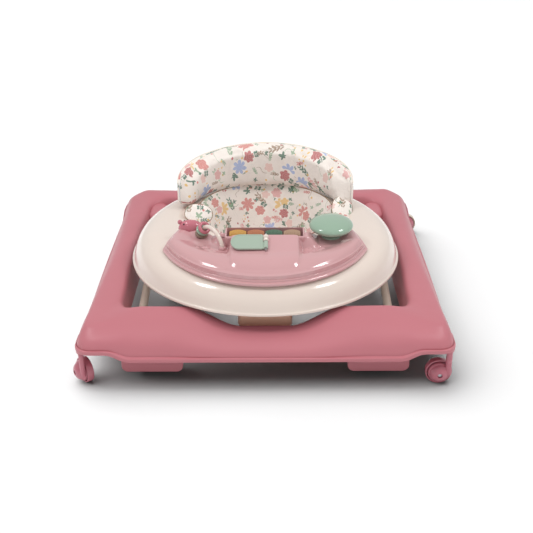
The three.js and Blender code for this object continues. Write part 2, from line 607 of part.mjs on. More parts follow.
function makeToyTray() {
  const blockSide = new THREE.Shape([
    [-57, 1], [-57, 35], [-61, 39], [-92, 43], [-138, 33], [-152, 26], [-192, 8], [-192, 1],
  ].map(([v, h]) => new THREE.Vector2(v, h)));
  const half = TOY.blockHalfWidth;
  // The extrusion's own x, y and z become v, height and x.
  const upright = new THREE.Matrix4().makeBasis(
    new THREE.Vector3(0, 1, 0), new THREE.Vector3(0, 0, 1), new THREE.Vector3(1, 0, 0));
  const block = new THREE.ExtrudeGeometry(blockSide, {
    depth: 2 * half - 4, bevelSize: 2, bevelThickness: 2, bevelOffset: -2, bevelSegments: 1, steps: 1,
  }).applyMatrix4(upright).translate(-half + 2, 0, 0);
  const housingOutline = roundedRectangle(-TOY.housingHalfWidth, TOY.housingHalfWidth, -100, -55, 6, 2);
  const housing = plate(housingOutline, 4, 41, 4);
  const body = join(
    stack([toyOutline(0), 0], [toyOutline(0), TOY.flange - 1], [toyOutline(1.5), TOY.flange],
      [toyOutline(5.5), TOY.flange], [toyOutline(6), TOY.step - 1], [toyOutline(7), TOY.step],
      [toyOutline(9), TOY.step], [toyOutline(11), mix(TOY.step, TOY.plateau, 0.55)],
      [toyOutline(15), mix(TOY.step, TOY.plateau, 0.9)], [toyOutline(20), TOY.plateau]),
    housing, block);
  return cut(body,
    stack([toyOutline(9), -2], [toyOutline(12), 7]),
    box(-56, 56, -150, -104, 7, 24),
    box(-TOY.recessHalfWidth, TOY.recessHalfWidth, TOY.recessFront, TOY.recessRear, TOY.recessFloor, 60),
    rod('x', 0, ROLLER.v, ROLLER.height, ROLLER.axle + GAP, 200, 10),
    rod('z', 0, TRAY.holeY - TRAY.slopeFromY, 0, SEAT.flangeRadius + 1, 2 * TOY.seatRingClear, 48));
}

add('toy_tray', makeToyTray(), BLUSH, toys);
const axle = rod('x', 0, ROLLER.v, ROLLER.height, ROLLER.axle, 2 * TOY.housingHalfWidth - 4, 10);
add('roller_axle', axle, STEEL, toys);
const ROLLERS = [['ochre', OCHRE], ['terracotta', TERRACOTTA], ['forest', FOREST], ['taupe', TAUPE]];
ROLLERS.forEach(([name, material], i) => {
  const { radius: r, width: w } = ROLLER;
  const bore = ROLLER.axle + GAP;
  const roller = turned([[bore, -w / 2], [r - 4, -w / 2], [r - 1, -w / 2 + 3], [r, -w / 2 + 8],
    [r, w / 2 - 8], [r - 1, w / 2 - 3], [r - 4, w / 2], [bore, w / 2]], 16).rotateY(Math.PI / 2);
  add(`roller_${name}`, roller.translate((i - 1.5) * ROLLER.pitch, ROLLER.v, ROLLER.height), material, toys);
});

// mushroom knob
const capRing = (degrees) => [
  MUSHROOM.radius * Math.cos(rad(degrees)), MUSHROOM.middle + MUSHROOM.height / 2 * Math.sin(rad(degrees))];
const cap = cut(
  turned([[0, MUSHROOM.middle - 8], ...[-60, -30, 0, 25, 50, 70].map(capRing),
    [0, MUSHROOM.middle + MUSHROOM.height / 2]], 24),
  rod('z', 0, 0, MUSHROOM.middle - 9, 5.5, 12, 12));
add('mushroom_cap', cap.translate(MUSHROOM.x, MUSHROOM.v, 0), GREEN, toys);
const [stemFoot, stemNeck] = [TOY.plateau + GAP, MUSHROOM.middle - 9.5];
const stem = turned([[0, stemFoot], [19, stemFoot], [19, TOY.plateau + 3], [15.5, TOY.plateau + 5],
  [15, stemNeck], [5, stemNeck], [5, stemNeck + 6], [0, stemNeck + 6]], 20);
add('mushroom_stem', stem.translate(MUSHROOM.x, MUSHROOM.v, 0), GREEN, toys);

// hinged page, with a wire hinge and two beads on it
const page = new THREE.Group();
page.position.set(PAGE.x, PAGE.v, PAGE.height);
page.rotation.x = rad(PAGE.tilt);
toys.add(page);
const pageOutline = [
  ...Array.from({ length: 9 }, (_, i) => {
    const a = rad(90 + 180 * i / 8);
    return new THREE.Vector2(-PAGE.length + 14 + 14 * Math.cos(a), PAGE.halfWidth * Math.sin(a));
  }),
  new THREE.Vector2(-5, -PAGE.halfWidth), new THREE.Vector2(-5, PAGE.halfWidth)];
const leaf = join(
  plate(pageOutline, 1.5, 1.5 + PAGE.thickness, 0.8),
  rod('y', 0, -10, 4.5, 4, 2 * PAGE.halfWidth - 22, 12), box(-8, -1, -19, -1, 2, 5));
add('page', cut(leaf, rod('y', 0, 0, 4.5, 1.8, 60, 10)), GREEN, page);
const wireLeg = (y0, y1) => box(-1.4, 1.4, y0, y1, 0.5, 5);
const wire = join(rod('y', 0, 0, 4.5, 1.4, 44, 8), wireLeg(-22, -19.6), wireLeg(19.6, 22));
add('page_wire', wire, STEEL, page);
for (const [name, y] of [['front', 4.5], ['rear', 12.5]]) {
  const bead = turned([[1.9, -3], [3, -3.6], [4.3, -2], [4.3, 2], [3, 3.6], [1.9, 3]], 12)
    .rotateX(Math.PI / 2);
  add(`page_bead_${name}`, bead.translate(0, y, 4.5), CREAM, page);
}

// small animal with a ball nose
const animal = new THREE.SphereGeometry(1, 14, 8).scale(23, 12, 20)
  .translate(-141, -28, TOY.plateau + GAP + 2);
const nose = new THREE.SphereGeometry(4.6, 10, 8).translate(-165, -26, TOY.plateau + 12);
const neck = rod('x', -160, -26, TOY.plateau + 10, 5, 10, 10);
add('animal', cut(join(animal, nose, neck), box(-200, -90, -60, 10, -10, TOY.plateau + GAP)), ROSE, toys);

// arch with three rings on it
const arch = new THREE.Group();
arch.position.set(ARCH.x, ARCH.v, TOY.plateau + GAP);
arch.rotation.z = rad(ARCH.heading);
toys.add(arch);
const archPath = new Bend((c, s) => new THREE.Vector3(ARCH.radius * c, 0, ARCH.radius * s), 0, 180);
const archRod = new THREE.ExtrudeGeometry(new THREE.Shape().absarc(0, 0, ARCH.rod, 0, 2 * Math.PI), {
  steps: 14, extrudePath: archPath, curveSegments: 4 });
const foot = turned([[0, 0], [5.8, 0], [5.8, 2.5], [4.8, 5], [0, 5]], 10);
const feet = [-1, 1].map((side) => foot.clone().translate(side * ARCH.radius, 0, 0));
add('arch_rod', join(archRod, ...feet), CREAM, arch);
// Each ring's place is in degrees along the arch.
const RINGS = [['taupe', 166, TAUPE], ['green', 148.7, GREEN], ['rose', 131.4, ROSE]];
for (const [name, degrees, material] of RINGS) {
  const along = new THREE.Group();
  along.rotation.y = rad(-degrees);
  arch.add(along);
  const ring = new THREE.TorusGeometry(ARCH.ringMajor, ARCH.ringMinor, 6, 16).translate(ARCH.radius, 0, 0);
  add(`ring_${name}`, indexed(ring), material, along);
}

// ---------- seat ----------
const seatAt = (geometry) => geometry.translate(0, TRAY.holeY, 0);
add('seat_ring', seatAt(turned([
  [SEAT.ringInner, TRAY.top - 12], [SEAT.ringOuter, TRAY.top - 12], [SEAT.ringOuter, TRAY.top + GAP],
  [SEAT.flangeRadius, TRAY.top + GAP], [SEAT.flangeRadius, SEAT.flangeTop - 1],
  [SEAT.flangeRadius - 2, SEAT.flangeTop],
  [SEAT.ringInner, SEAT.flangeTop]], 36)), CREAM);

const bucketOutside = [[SEAT.bottomRadius, SEAT.bucketBottom], [88, 50], [112, 92], [131, 140],
  [SEAT.bucketRadius, 174], [SEAT.bucketRadius, SEAT.flangeTop]];
const bucketInside = bucketOutside.map(([r, z], i) => [r - SEAT.cloth, i ? z : z + SEAT.cloth]).reverse();
const bucket = turned([[0, SEAT.bucketBottom], ...bucketOutside, ...bucketInside,
  [0, SEAT.bucketBottom + SEAT.cloth]], 24);
const legHole = (side) => rod('y', 0, -90, SEAT.legZ, SEAT.legRadius, 140, 16)
  .rotateZ(side * rad(SEAT.legAngle));
add('seat_bucket', seatAt(cut(bucket, legHole(-1), legHole(1))), FABRIC);

/** The padded back: a thick wall round the rear of the seat, highest in the middle. */
function makeSeatBack() {
  const bottom = SEAT.flangeTop + 2 * GAP;
  const rings = Array.from({ length: SEAT.stations + 1 }, (_, i) => {
    const a = Math.PI * i / SEAT.stations;
    const [c, s] = [Math.cos(a), Math.sin(a)];
    const top = SEAT.backLow + (SEAT.backHigh - SEAT.backLow) * s ** 0.6;
    const at = (depth, z) => new THREE.Vector3(
      (SEAT.backHalfWidth - depth) * c, TRAY.holeY + (SEAT.backDepth - depth) * s, z);
    const t = SEAT.backThickness;
    return [at(0, bottom + 6), at(0, mix(bottom, top, 0.6)), at(4, top - 6), at(10, top), at(17, top - 4),
      at(t, top - 16), at(t, bottom + 4), at(t - 5, bottom), at(5, bottom)];
  });
  return loft(rings, false);
}

add('seat_back', makeSeatBack(), FABRIC);

walker.position.set(-ORIGIN.x, -ORIGIN.y, 0);

export default walker;
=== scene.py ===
"""Looks of a baby walker: a moulded base on casters, crossed legs, a round tray, a toy tray and a padded
fabric seat. Shapes are given in millimetres and made in metres, in the CAD's own frame."""

import json
import math
import numpy as np

import bmesh
import bpy
from mathutils import Matrix, Vector, noise
from mathutils.bvhtree import BVHTree


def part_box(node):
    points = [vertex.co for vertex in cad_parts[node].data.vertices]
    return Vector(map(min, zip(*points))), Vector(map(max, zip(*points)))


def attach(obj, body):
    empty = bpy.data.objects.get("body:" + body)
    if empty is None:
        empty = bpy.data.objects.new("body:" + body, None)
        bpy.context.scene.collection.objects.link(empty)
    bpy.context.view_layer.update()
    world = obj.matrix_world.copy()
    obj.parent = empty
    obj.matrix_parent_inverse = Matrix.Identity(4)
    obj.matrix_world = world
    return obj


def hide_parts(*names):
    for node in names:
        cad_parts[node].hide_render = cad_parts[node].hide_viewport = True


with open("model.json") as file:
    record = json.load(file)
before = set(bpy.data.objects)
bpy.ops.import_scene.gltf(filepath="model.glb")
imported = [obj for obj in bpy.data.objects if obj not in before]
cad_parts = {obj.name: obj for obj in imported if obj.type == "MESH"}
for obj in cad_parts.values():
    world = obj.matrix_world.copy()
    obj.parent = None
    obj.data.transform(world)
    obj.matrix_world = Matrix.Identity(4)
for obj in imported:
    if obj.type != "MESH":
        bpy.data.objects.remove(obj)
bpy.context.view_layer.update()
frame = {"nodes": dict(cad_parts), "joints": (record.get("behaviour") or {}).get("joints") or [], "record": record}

MM = 0.001
scene = bpy.context.scene
joints = {joint["name"]: joint for joint in frame["joints"]}
base_low, base_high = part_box("base_shell")
MIDDLE_X = (base_low.x + base_high.x) / 2 / MM
LEG_Y = -5.0  # the legs' own zero line, from the middle of the footprint


# ---------- mesh helpers ----------
def new_object(name, points, faces, scale=MM):
    mesh = bpy.data.meshes.new(name)
    mesh.from_pydata([Vector(p) * scale for p in points], [], faces)
    mesh.update()
    piece = bpy.data.objects.new(name, mesh)
    scene.collection.objects.link(piece)
    return piece


def clean(piece, merge=1e-6):
    """Welds coincident points and turns every face outwards."""
    bm = bmesh.new()
    bm.from_mesh(piece.data)
    bmesh.ops.remove_doubles(bm, verts=bm.verts, dist=merge)
    bmesh.ops.dissolve_degenerate(bm, edges=bm.edges, dist=merge / 10)
    bmesh.ops.recalc_face_normals(bm, faces=bm.faces)
    bm.to_mesh(piece.data)
    bm.free()
    return piece


def shade(piece, angle=38):
    piece.data.shade_smooth()
    piece.data.set_sharp_from_angle(angle=math.radians(angle))
    return piece


def bake(piece):
    """Applies the piece's modifiers."""
    graph = bpy.context.evaluated_depsgraph_get()
    mesh = bpy.data.meshes.new_from_object(piece.evaluated_get(graph))
    piece.modifiers.clear()
    old = piece.data
    piece.data = mesh
    bpy.data.meshes.remove(old)
    mesh.name = piece.name
    return piece


def modify(piece, kind, **settings):
    modifier = piece.modifiers.new(kind, kind)
    for key, value in settings.items():
        setattr(modifier, key, value)
    return bake(piece)


def boolean(piece, tool, operation):
    modify(piece, "BOOLEAN", operation=operation, object=tool, solver="MANIFOLD")
    bpy.data.objects.remove(tool)
    return piece


def join(piece, tool):
    return boolean(piece, tool, "UNION")


def cut(piece, tool):
    return boolean(piece, tool, "DIFFERENCE")


def place(piece, matrix):
    piece.data.transform(matrix)
    if matrix.determinant() < 0:
        piece.data.flip_normals()
    return piece


def slide(x, y, z=0):
    """A move in millimetres."""
    return Matrix.Translation((x * MM, y * MM, z * MM))


def spin(degrees, axis):
    return Matrix.Rotation(math.radians(degrees), 4, axis)


def axes(x, y, z):
    """The turn that lays X, Y and Z along three directions."""
    return Matrix((x, y, z)).transposed().to_4x4()


def loft(name, rings, loop=False, section_closed=True):
    """A skin through rings of points. A loop joins last to first, other lofts get end caps."""
    count = len(rings[0])
    points = [p for ring in rings for p in ring]
    faces = []
    across = count if section_closed else count - 1
    for i in range(len(rings) if loop else len(rings) - 1):
        a, b = i * count, (i + 1) % len(rings) * count
        for j in range(across):
            k = (j + 1) % count
            faces.append((a + j, b + j, b + k, a + k))
    if not loop and section_closed:
        faces.append(tuple(range(count)))
        faces.append(tuple(reversed(range(len(points) - count, len(points)))))
    return clean(new_object(name, points, faces))


def lathe(name, profile, segments=96, closed=False):
    """Turns [radius, height] points about Z. A closed profile makes a ring, an open one ends on the axis."""
    rings = []
    for i in range(segments):
        a = 2 * math.pi * i / segments
        rings.append([(r * math.cos(a), r * math.sin(a), z) for r, z in profile])
    return loft(name, rings, loop=True, section_closed=closed)


def drum(name, radius, low, high, segments):
    """A plain cylinder about Z."""
    return lathe(name, [(0, low), (radius, low), (radius, high), (0, high)], segments)


def ball(name, radius, steps, segments):
    turns = [math.pi * i / steps - math.pi / 2 for i in range(steps + 1)]
    return lathe(name, [(radius * math.cos(t), radius * math.sin(t)) for t in turns], segments)


def unit_sphere(name, subdivisions):
    piece = new_object(name, [], [])
    bm = bmesh.new()
    bmesh.ops.create_icosphere(bm, subdivisions=subdivisions, radius=1.0)
    bm.to_mesh(piece.data)
    bm.free()
    return piece


def spline(points, steps):
    """A Catmull-Rom curve through points of any dimension, ends included."""
    ends = [2 * points[0] - points[1]] + points + [2 * points[-1] - points[-2]]
    line = []
    for i in range(1, len(ends) - 2):
        a, b, c, d = ends[i - 1:i + 3]
        for s in range(steps):
            t = s / steps
            line.append(0.5 * ((2 * b) + (c - a) * t + (2 * a - 5 * b + 4 * c - d) * t * t
                               + (3 * b - a - 3 * c + d) * t ** 3))
    return line + [points[-1]]


def curve(points, steps):
    """The spline through plain tuples, as plain tuples."""
    return [tuple(p) for p in spline([Vector(p) for p in points], steps)]


def sweep(name, path, radius, sides=20, closed=False):
    """A round bar along a path of points, with flat end caps if it is open."""
    path = [Vector(p) for p in path]
    rings = []
    side = None
    for i, p in enumerate(path):
        ahead = path[(i + 1) % len(path)] if closed or i + 1 < len(path) else p
        behind = path[i - 1] if closed or i else p
        along = (ahead - behind).normalized()
        if side is None:
            side = along.orthogonal().normalized()
        side = (side - along * side.dot(along)).normalized()
        up = along.cross(side)
        rings.append([p + radius * (side * math.cos(t) + up * math.sin(t))
                      for t in (2 * math.pi * k / sides for k in range(sides))])
    return loft(name, rings, loop=closed)


def plate(name, outline, z0, z1, fillet, steps=4):
    """A flat slab on a plan outline, with its top and bottom edges rounded."""
    outline = [Vector(p) for p in outline]
    middle = sum(outline, Vector((0, 0))) / len(outline)
    size = max((p - middle).length for p in outline)

    def ring(inset, z):
        ring_points = []
        for i, p in enumerate(outline):
            before, after = outline[i - 1], outline[(i + 1) % len(outline)]
            tangent = (after - before).normalized()
            normal = Vector((tangent.y, -tangent.x))
            if normal.dot(p - middle) < -0.2 * size:
                normal = -normal
            q = p - normal * inset
            ring_points.append((q.x, q.y, z))
        return ring_points

    turns = [math.pi / 2 * s / steps for s in range(steps + 1)]
    rings = [ring(fillet * (1 - math.sin(t)), z0 + fillet * (1 - math.cos(t))) for t in turns]
    rings += [ring(fillet * (1 - math.cos(t)), z1 - fillet * (1 - math.sin(t))) for t in turns]
    return loft(name, rings)


def rounded_rectangle(x0, x1, y0, y1, radius, steps=8):
    outline = []
    corners = [(x1 - radius, y1 - radius), (x0 + radius, y1 - radius),
               (x0 + radius, y0 + radius), (x1 - radius, y0 + radius)]
    for quarter, (x, y) in enumerate(corners):
        for s in range(steps + 1):
            a = math.pi / 2 * (quarter + s / steps)
            outline.append((x + radius * math.cos(a), y + radius * math.sin(a)))
    return outline


def smooth_step(t):
    t = max(0.0, min(1.0, t))
    return t * t * (3 - 2 * t)


def lerp(a, b, t):
    return a + (b - a) * t


def wobble(x, y, z):
    return noise.noise(Vector((x, y, z)))


def puffed(c):
    """A share from -1 to 1, pushed outwards a little."""
    return math.copysign(abs(c) ** 0.85, c)


# ---------- materials ----------
def linear(hex_colour):
    """An rrggbb colour as linear RGBA."""
    channels = [int(hex_colour[i:i + 2], 16) / 255 for i in (0, 2, 4)]
    return tuple(c / 12.92 if c <= 0.04045 else ((c + 0.055) / 1.055) ** 2.4 for c in channels) + (1.0,)


def operator(operation, swapped=False):
    def act(self, other=0.0):
        return self.graph.math(operation, *((other, self) if swapped else (self, other)))
    return act


class Field:
    """A number that varies over the surface. Arithmetic on it adds math nodes to its graph."""

    def __init__(self, graph, socket):
        self.graph, self.socket = graph, socket

    __add__, __sub__, __mul__, __truediv__ = map(operator, ("ADD", "SUBTRACT", "MULTIPLY", "DIVIDE"))
    __pow__, __abs__, __gt__, __lt__ = map(operator, ("POWER", "ABSOLUTE", "GREATER_THAN", "LESS_THAN"))
    __rsub__ = operator("SUBTRACT", swapped=True)


class Graph:
    """A material's nodes, with short calls for the ones used here."""

    def __init__(self, name):
        self.material = bpy.data.materials.new(name)
        self.material.use_nodes = True
        self.nodes = self.material.node_tree.nodes
        self.links = self.material.node_tree.links
        self.shader = self.nodes["Principled BSDF"]

    def node(self, kind, inputs=(), **settings):
        made = self.nodes.new(kind)
        for key, value in settings.items():
            setattr(made, key, value)
        for key, value in dict(inputs).items():
            self.feed(made.inputs[key], value)
        return made

    def feed(self, socket, value):
        value = getattr(value, "socket", value)
        if isinstance(value, bpy.types.NodeSocket):
            self.links.new(value, socket)
        else:
            socket.default_value = value

    def math(self, operation, a, b=0.0, clamp=False):
        made = self.node("ShaderNodeMath", {0: a, 1: b}, operation=operation, use_clamp=clamp)
        return Field(self, made.outputs[0])

    def sine(self, a):
        return self.math("SINE", a)

    def cosine(self, a):
        return self.math("COSINE", a)

    def split(self, kind, value):
        """The three numbers of a colour ("Color") or a vector ("XYZ")."""
        return [Field(self, out) for out in self.node(f"ShaderNodeSeparate{kind}", {0: value}).outputs]

    def vector(self, operation, a, b=(0, 0, 0), scale=1.0):
        return self.node("ShaderNodeVectorMath", {0: a, 1: b, 3: scale}, operation=operation).outputs[0]

    def mix(self, factor, a, b):
        made = self.node("ShaderNodeMix", data_type="RGBA")
        for socket, value in (("Factor", factor), (6, a), (7, b)):
            self.feed(made.inputs[socket], value)
        return made.outputs[2]

    def steps(self, factor, stops):
        """A colour ramp of flat steps."""
        made = self.node("ShaderNodeValToRGB", {"Fac": factor})
        made.color_ramp.interpolation = "CONSTANT"
        elements = made.color_ramp.elements
        while len(elements) < len(stops):
            elements.new(0.5)
        for element, (position, colour) in zip(elements, stops):
            element.position = position
            element.color = colour
        return made.outputs["Color"]

    def noise(self, scale, detail=3.0, coordinates=None, roughness=0.5):
        if coordinates is None:
            coordinates = self.node("ShaderNodeTexCoord").outputs["Object"]
        made = self.node("ShaderNodeTexNoise", {"Vector": coordinates, "Scale": scale, "Detail": detail,
                                                "Roughness": roughness})
        return Field(self, made.outputs[0])

    def bump(self, height, distance, normal=None):
        made = self.node("ShaderNodeBump", {"Height": height, "Distance": distance, "Strength": 1.0})
        if normal is not None:
            self.feed(made.inputs["Normal"], normal)
        return made.outputs["Normal"]

    def set(self, **values):
        for key, value in values.items():
            self.feed(self.shader.inputs[key.replace("_", " ")], value)


def shaded(hex_colour, factor):
    """The colour made paler or darker, as linear RGBA."""
    return tuple(min(1, c * factor) for c in linear(hex_colour)[:3]) + (1,)


def moulded(name, colour, roughness, grain=0.00002, grain_scale=1400, coat=0.0, ripple=0.00006, wear=0.05):
    """Moulded plastic: a faint tone drift, fine grain, slow ripples, and edges rubbed a little paler."""
    g = Graph(name)
    tone = g.mix(g.noise(9.0, 2.0) * 0.5, shaded(colour, 0.93), shaded(colour, 1.07))
    edges = Field(g, g.node("ShaderNodeNewGeometry").outputs["Pointiness"])
    rubbed = g.math("MULTIPLY", edges - 0.52, 6.0, clamp=True)
    g.set(Base_Color=g.mix(rubbed * wear, tone, (1, 0.97, 0.95, 1)))
    g.set(Roughness=g.noise(55.0, 4.0) * 0.10 + (roughness - 0.05))
    g.set(Normal=g.bump(g.noise(14.0, 1.0), ripple, normal=g.bump(g.noise(grain_scale, 2.0), grain)))
    g.set(Coat_Weight=coat, Coat_Roughness=0.08, IOR=1.48)
    return g.material


def steel(name):
    g = Graph(name)
    streaks = g.noise(900.0, 3.0)
    g.set(Base_Color=g.mix(streaks, (0.42, 0.43, 0.45, 1), (0.62, 0.63, 0.65, 1)))
    g.set(Roughness=g.noise(300.0) * 0.2 + 0.22, Normal=g.bump(streaks, 0.00001), Metallic=1.0)
    return g.material


def rubber(name):
    g = Graph(name)
    g.set(Base_Color=g.mix(g.noise(120.0), linear("3d393a"), linear("534d4e")))
    g.set(Roughness=g.noise(400.0) * 0.15 + 0.75, Normal=g.bump(g.noise(2500.0), 0.00004))
    return g.material


# One printed motif of each kind stands in each cell of its own loose grid, in millimetres of cloth.
INK = {"red": "b5404c", "coral": "d2716c", "rose": "e3a3a3", "blue": "93aee0", "yellow": "ecc069",
       "green": "2f6b57", "sage": "8fae8e", "brown": "9a7f68", "blush": "ecc4bc"}
PRINT_SCALE, THREAD = 870.0, 0.62  # print units in a metre of cloth, and one thread's width in them


def printed_cotton(name, ground):
    """Cotton with a print of flowers, ivy leaves, sprigs and berries over its UV map, which is in metres."""
    g = Graph(name)
    cloth = g.vector("SCALE", g.node("ShaderNodeUVMap").outputs["UV"], scale=PRINT_SCALE)
    wander = g.node("ShaderNodeTexNoise", {"Vector": cloth, "Scale": 0.09, "Detail": 2.0}).outputs["Color"]
    shake = g.vector("SCALE", g.vector("SUBTRACT", wander, (0.5, 0.5, 0.5)), scale=5.0)
    drawn = g.vector("ADD", cloth, shake)

    def cells(size, shift, randomness=0.8):
        """The place in a cell from its motif's middle, turned at random, and two random numbers."""
        moved = g.vector("ADD", drawn, shift)
        cell = g.node("ShaderNodeTexVoronoi", {"Vector": moved, "Scale": 1 / size, "Randomness": randomness},
                      voronoi_dimensions="2D")
        local = g.vector("SUBTRACT", moved, cell.outputs["Position"])
        kind, odds, angle = g.split("Color", cell.outputs["Color"])
        turned = g.node("ShaderNodeVectorRotate", {"Vector": local, "Angle": angle * (2 * math.pi)},
                        rotation_type="Z_AXIS")
        return g.split("XYZ", turned.outputs[0])[:2] + [kind, odds]

    def inside(edge, soft=0.35):
        """1 where edge, a distance in millimetres, is positive, with a soft brush edge."""
        return g.math("MULTIPLY", edge + soft / 2, 1 / soft, clamp=True)

    def polar(x, y):
        return g.math("SQRT", x * x + y * y), g.math("ARCTAN2", y, x)

    def flower(x, y, radius, petals, depth):
        r, angle = polar(x, y)
        reach = (abs(g.cosine(angle * (petals / 2))) ** 0.7 * depth + (1 - depth)) * radius
        return inside(reach - r), r

    def sprig(x, y, length, leaf, count):
        """Leaflets in pairs along a thin stem."""
        lean = abs(y)
        along = (x - lean * 1.1) / length + 0.5
        within = g.math("MULTIPLY", along * (1.0 - along), 4.0, clamp=True)
        width = abs(g.sine(along * (math.pi * count))) ** 1.5 * within ** 0.6 * leaf
        leaves = inside(width - abs(lean - leaf * 0.75))
        return g.math("MAXIMUM", leaves, inside(within * 0.45 - lean) * (within > 0.02))

    def inks(dice, *names):
        return g.steps(dice, [(i / len(names), linear(INK[n])) for i, n in enumerate(names)])

    def stamp(mask, ink):
        return g.mix(mask * 0.84, colour, ink)

    def clear(r, radius, here):
        """The bare ground round an open motif."""
        return g.mix(inside(radius - r, 1.0) * here, colour, linear(ground))

    colour = g.mix(g.noise(0.05, 3.0, cloth), linear(ground), shaded(ground, 0.93))
    # thin curling stems
    x, y, kind, odds = cells(37, (7, 3, 0))
    stem = inside(0.4 - abs(y - g.sine(x * 0.26) * 3.2)) * (abs(x) < 12.0) * (odds < 0.8)
    colour = stamp(stem, inks(kind, "brown", "green", "sage"))
    # sprigs, in two sizes
    for size, shift, length, leaf, names, share in (
            (46, (11, 23, 0), 29, 3.4, ("green", "sage", "brown", "rose"), 0.7),
            (33, (3, 41, 0), 17, 1.9, ("brown", "sage", "coral", "green"), 0.6)):
        x, y, kind, odds = cells(size, shift)
        colour = stamp(sprig(x, y, length, leaf, 4) * (odds < share), inks(kind, *names))
    # berries, singly and in loose heads
    for size, shift, radius, share, heads in ((23, (2, 13, 0), 2.3, 0.45, False),
                                              (7.5, (5, 3, 0), 1.9, 0.55, True)):
        x, y, kind, odds = cells(size, shift)
        here = odds < share
        if heads:
            here = here * (g.noise(0.021, 0.0, drawn) > 0.66)
            kind = g.noise(0.012, 0.0, drawn)
        berry = flower(x, y, radius, 4, 0.12)[0]
        colour = stamp(berry * here, inks(kind, "yellow", "red", "yellow", "coral"))
    # pointed ivy leaves with a pale midrib
    for size, shift, radius, share, names in ((33, (19, 5, 0), 10.5, 0.5, ("green", "green", "sage")),
                                              (27, (8, 29, 0), 6.5, 0.35, ("green", "sage", "green"))):
        x, y, kind, odds = cells(size, shift)
        r, angle = polar(x, y)
        reach = (abs(g.cosine(angle * 2.5)) ** 2.2 * 0.58 + 0.42) * (g.cosine(angle) * 0.28 + 0.72) * radius
        ink = g.mix(inside(0.28 - abs(y)) * 0.5, inks(kind, *names), linear("b9c9b4"))
        colour = stamp(inside(reach - r) * (odds < share), ink)
    # open flowers with narrow petals
    for size, shift, radius, petals, depth, names, share in (
            (64, (31, 17, 0), 14.5, 7, 0.6, ("blue", "yellow", "coral", "blue"), 0.75),
            (58, (45, 60, 0), 9.0, 5, 0.3, ("blush", "rose", "blush", "yellow"), 0.6)):
        x, y, kind, odds = cells(size, shift, 0.7)
        bloom, r = flower(x, y, radius, petals, depth)
        here = odds < share
        colour = clear(r, radius + 1, here)
        veined = g.mix(g.sine(r * 2.1) * 0.12 + 0.12, inks(kind, *names), linear("f3e4d6"))
        colour = stamp(bloom * here, veined)
    # tulips seen from the side, on a stem with two leaves
    x, y, kind, odds = cells(56, (5, 37, 0), 0.75)
    r, angle = polar(x - 3.0, y)
    here = odds < 0.7
    tulip = inside(g.cosine(angle) * 3.4 + 7.4 + abs(g.cosine(angle * 3.5)) * 3.2 - r)
    colour = clear(r, 15.0, here)
    stalk = inside(0.55 - abs(y)) * (x < 0.0) * (x > -15.0)
    blade_r, blade = polar(x + 9.0, abs(y) - 3.6)
    pair = inside(abs(g.cosine(blade)) * 3.4 + 0.9 - blade_r)
    colour = stamp(g.math("MAXIMUM", stalk, pair) * here, linear(INK["green"]))
    ringed = g.mix(g.sine(r * 1.7) * 0.1 + 0.1, inks(kind, "red", "coral", "red", "rose"), linear("f3e4d6"))
    colour = stamp(tulip * here, ringed)

    u, v, _ = g.split("XYZ", cloth)
    weave = g.sine(u * (2 * math.pi / THREAD)) * g.sine(v * (2 * math.pi / THREAD))
    g.set(Base_Color=g.mix((weave + 1.0) * 0.025, colour, (0.35, 0.28, 0.22, 1)))
    g.set(Roughness=g.noise(1.6, 4.0, cloth) * 0.1 + 0.8)
    g.set(Normal=g.bump(g.noise(0.22, 3.0, cloth), 0.0009, normal=g.bump(weave, 0.00006)))
    g.set(Sheen_Weight=0.25, Sheen_Roughness=0.5)
    return g.material


PINK = moulded("pink_satin", "c2757e", 0.42, grain=0.00003)
PINK_TRIM = moulded("pink_gloss", "bd6b79", 0.26, coat=0.3)
BLUSH = moulded("blush_gloss", "cd9d9f", 0.16, coat=0.6, grain=0.00001)
CREAM = moulded("cream_gloss", "e4d5ca", 0.17, coat=0.6, grain=0.00001)
CREAM_WHEEL = moulded("cream_wheel", "dccfbd", 0.35)
TUBE_COAT = moulded("cream_powder_coat", "e2d2c1", 0.36, grain=0.00004, grain_scale=900)
# The lever's tan is painted paler than its plastic: painted light that makes up for the shade it sits in under the
# tray.
TAN_PAINTED_LIT = moulded("tan_satin_painted_lit", "fbcdb0", 0.4)
MINT = moulded("mint_gloss", "93ad98", 0.14, coat=0.6, grain=0.00001)
SAGE = moulded("sage_gloss", "a2b3a2", 0.2, coat=0.5, grain=0.00001)
ROSE = moulded("rose_gloss", "c26f7c", 0.24, coat=0.4)
TAUPE = moulded("taupe_satin", "8f7768", 0.4)
ROLLER_PAINTS = {
    "ochre": moulded("ochre_grained", "c4944a", 0.5, grain=0.00006, grain_scale=700),
    "terracotta": moulded("terracotta_grained", "b0714f", 0.5, grain=0.00006, grain_scale=700),
    "forest": moulded("forest_grained", "4f6d58", 0.5, grain=0.00006, grain_scale=700),
    "taupe": moulded("taupe_grained", "a98a72", 0.5, grain=0.00006, grain_scale=700),
}
DARK = moulded("dark_bead", "221c1e", 0.15)
STEEL = steel("zinc_steel")
RUBBER = rubber("pad_rubber")
FLORAL = printed_cotton("floral_cotton", "f8efe7")
SEAM = moulded("seam_thread", "9a7e64", 0.8, grain=0.00008, grain_scale=2500)


def dress(piece, material, body, slot, *nodes, angle=38):
    """Gives a finished piece its material, smooth shading and body, and hides the CAD nodes it stands for. The
    slot argument is not used.
    """
    piece.data.materials.clear()
    piece.data.materials.append(material)
    shade(piece, angle)
    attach(piece, body)
    if nodes:
        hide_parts(*nodes)
    return piece


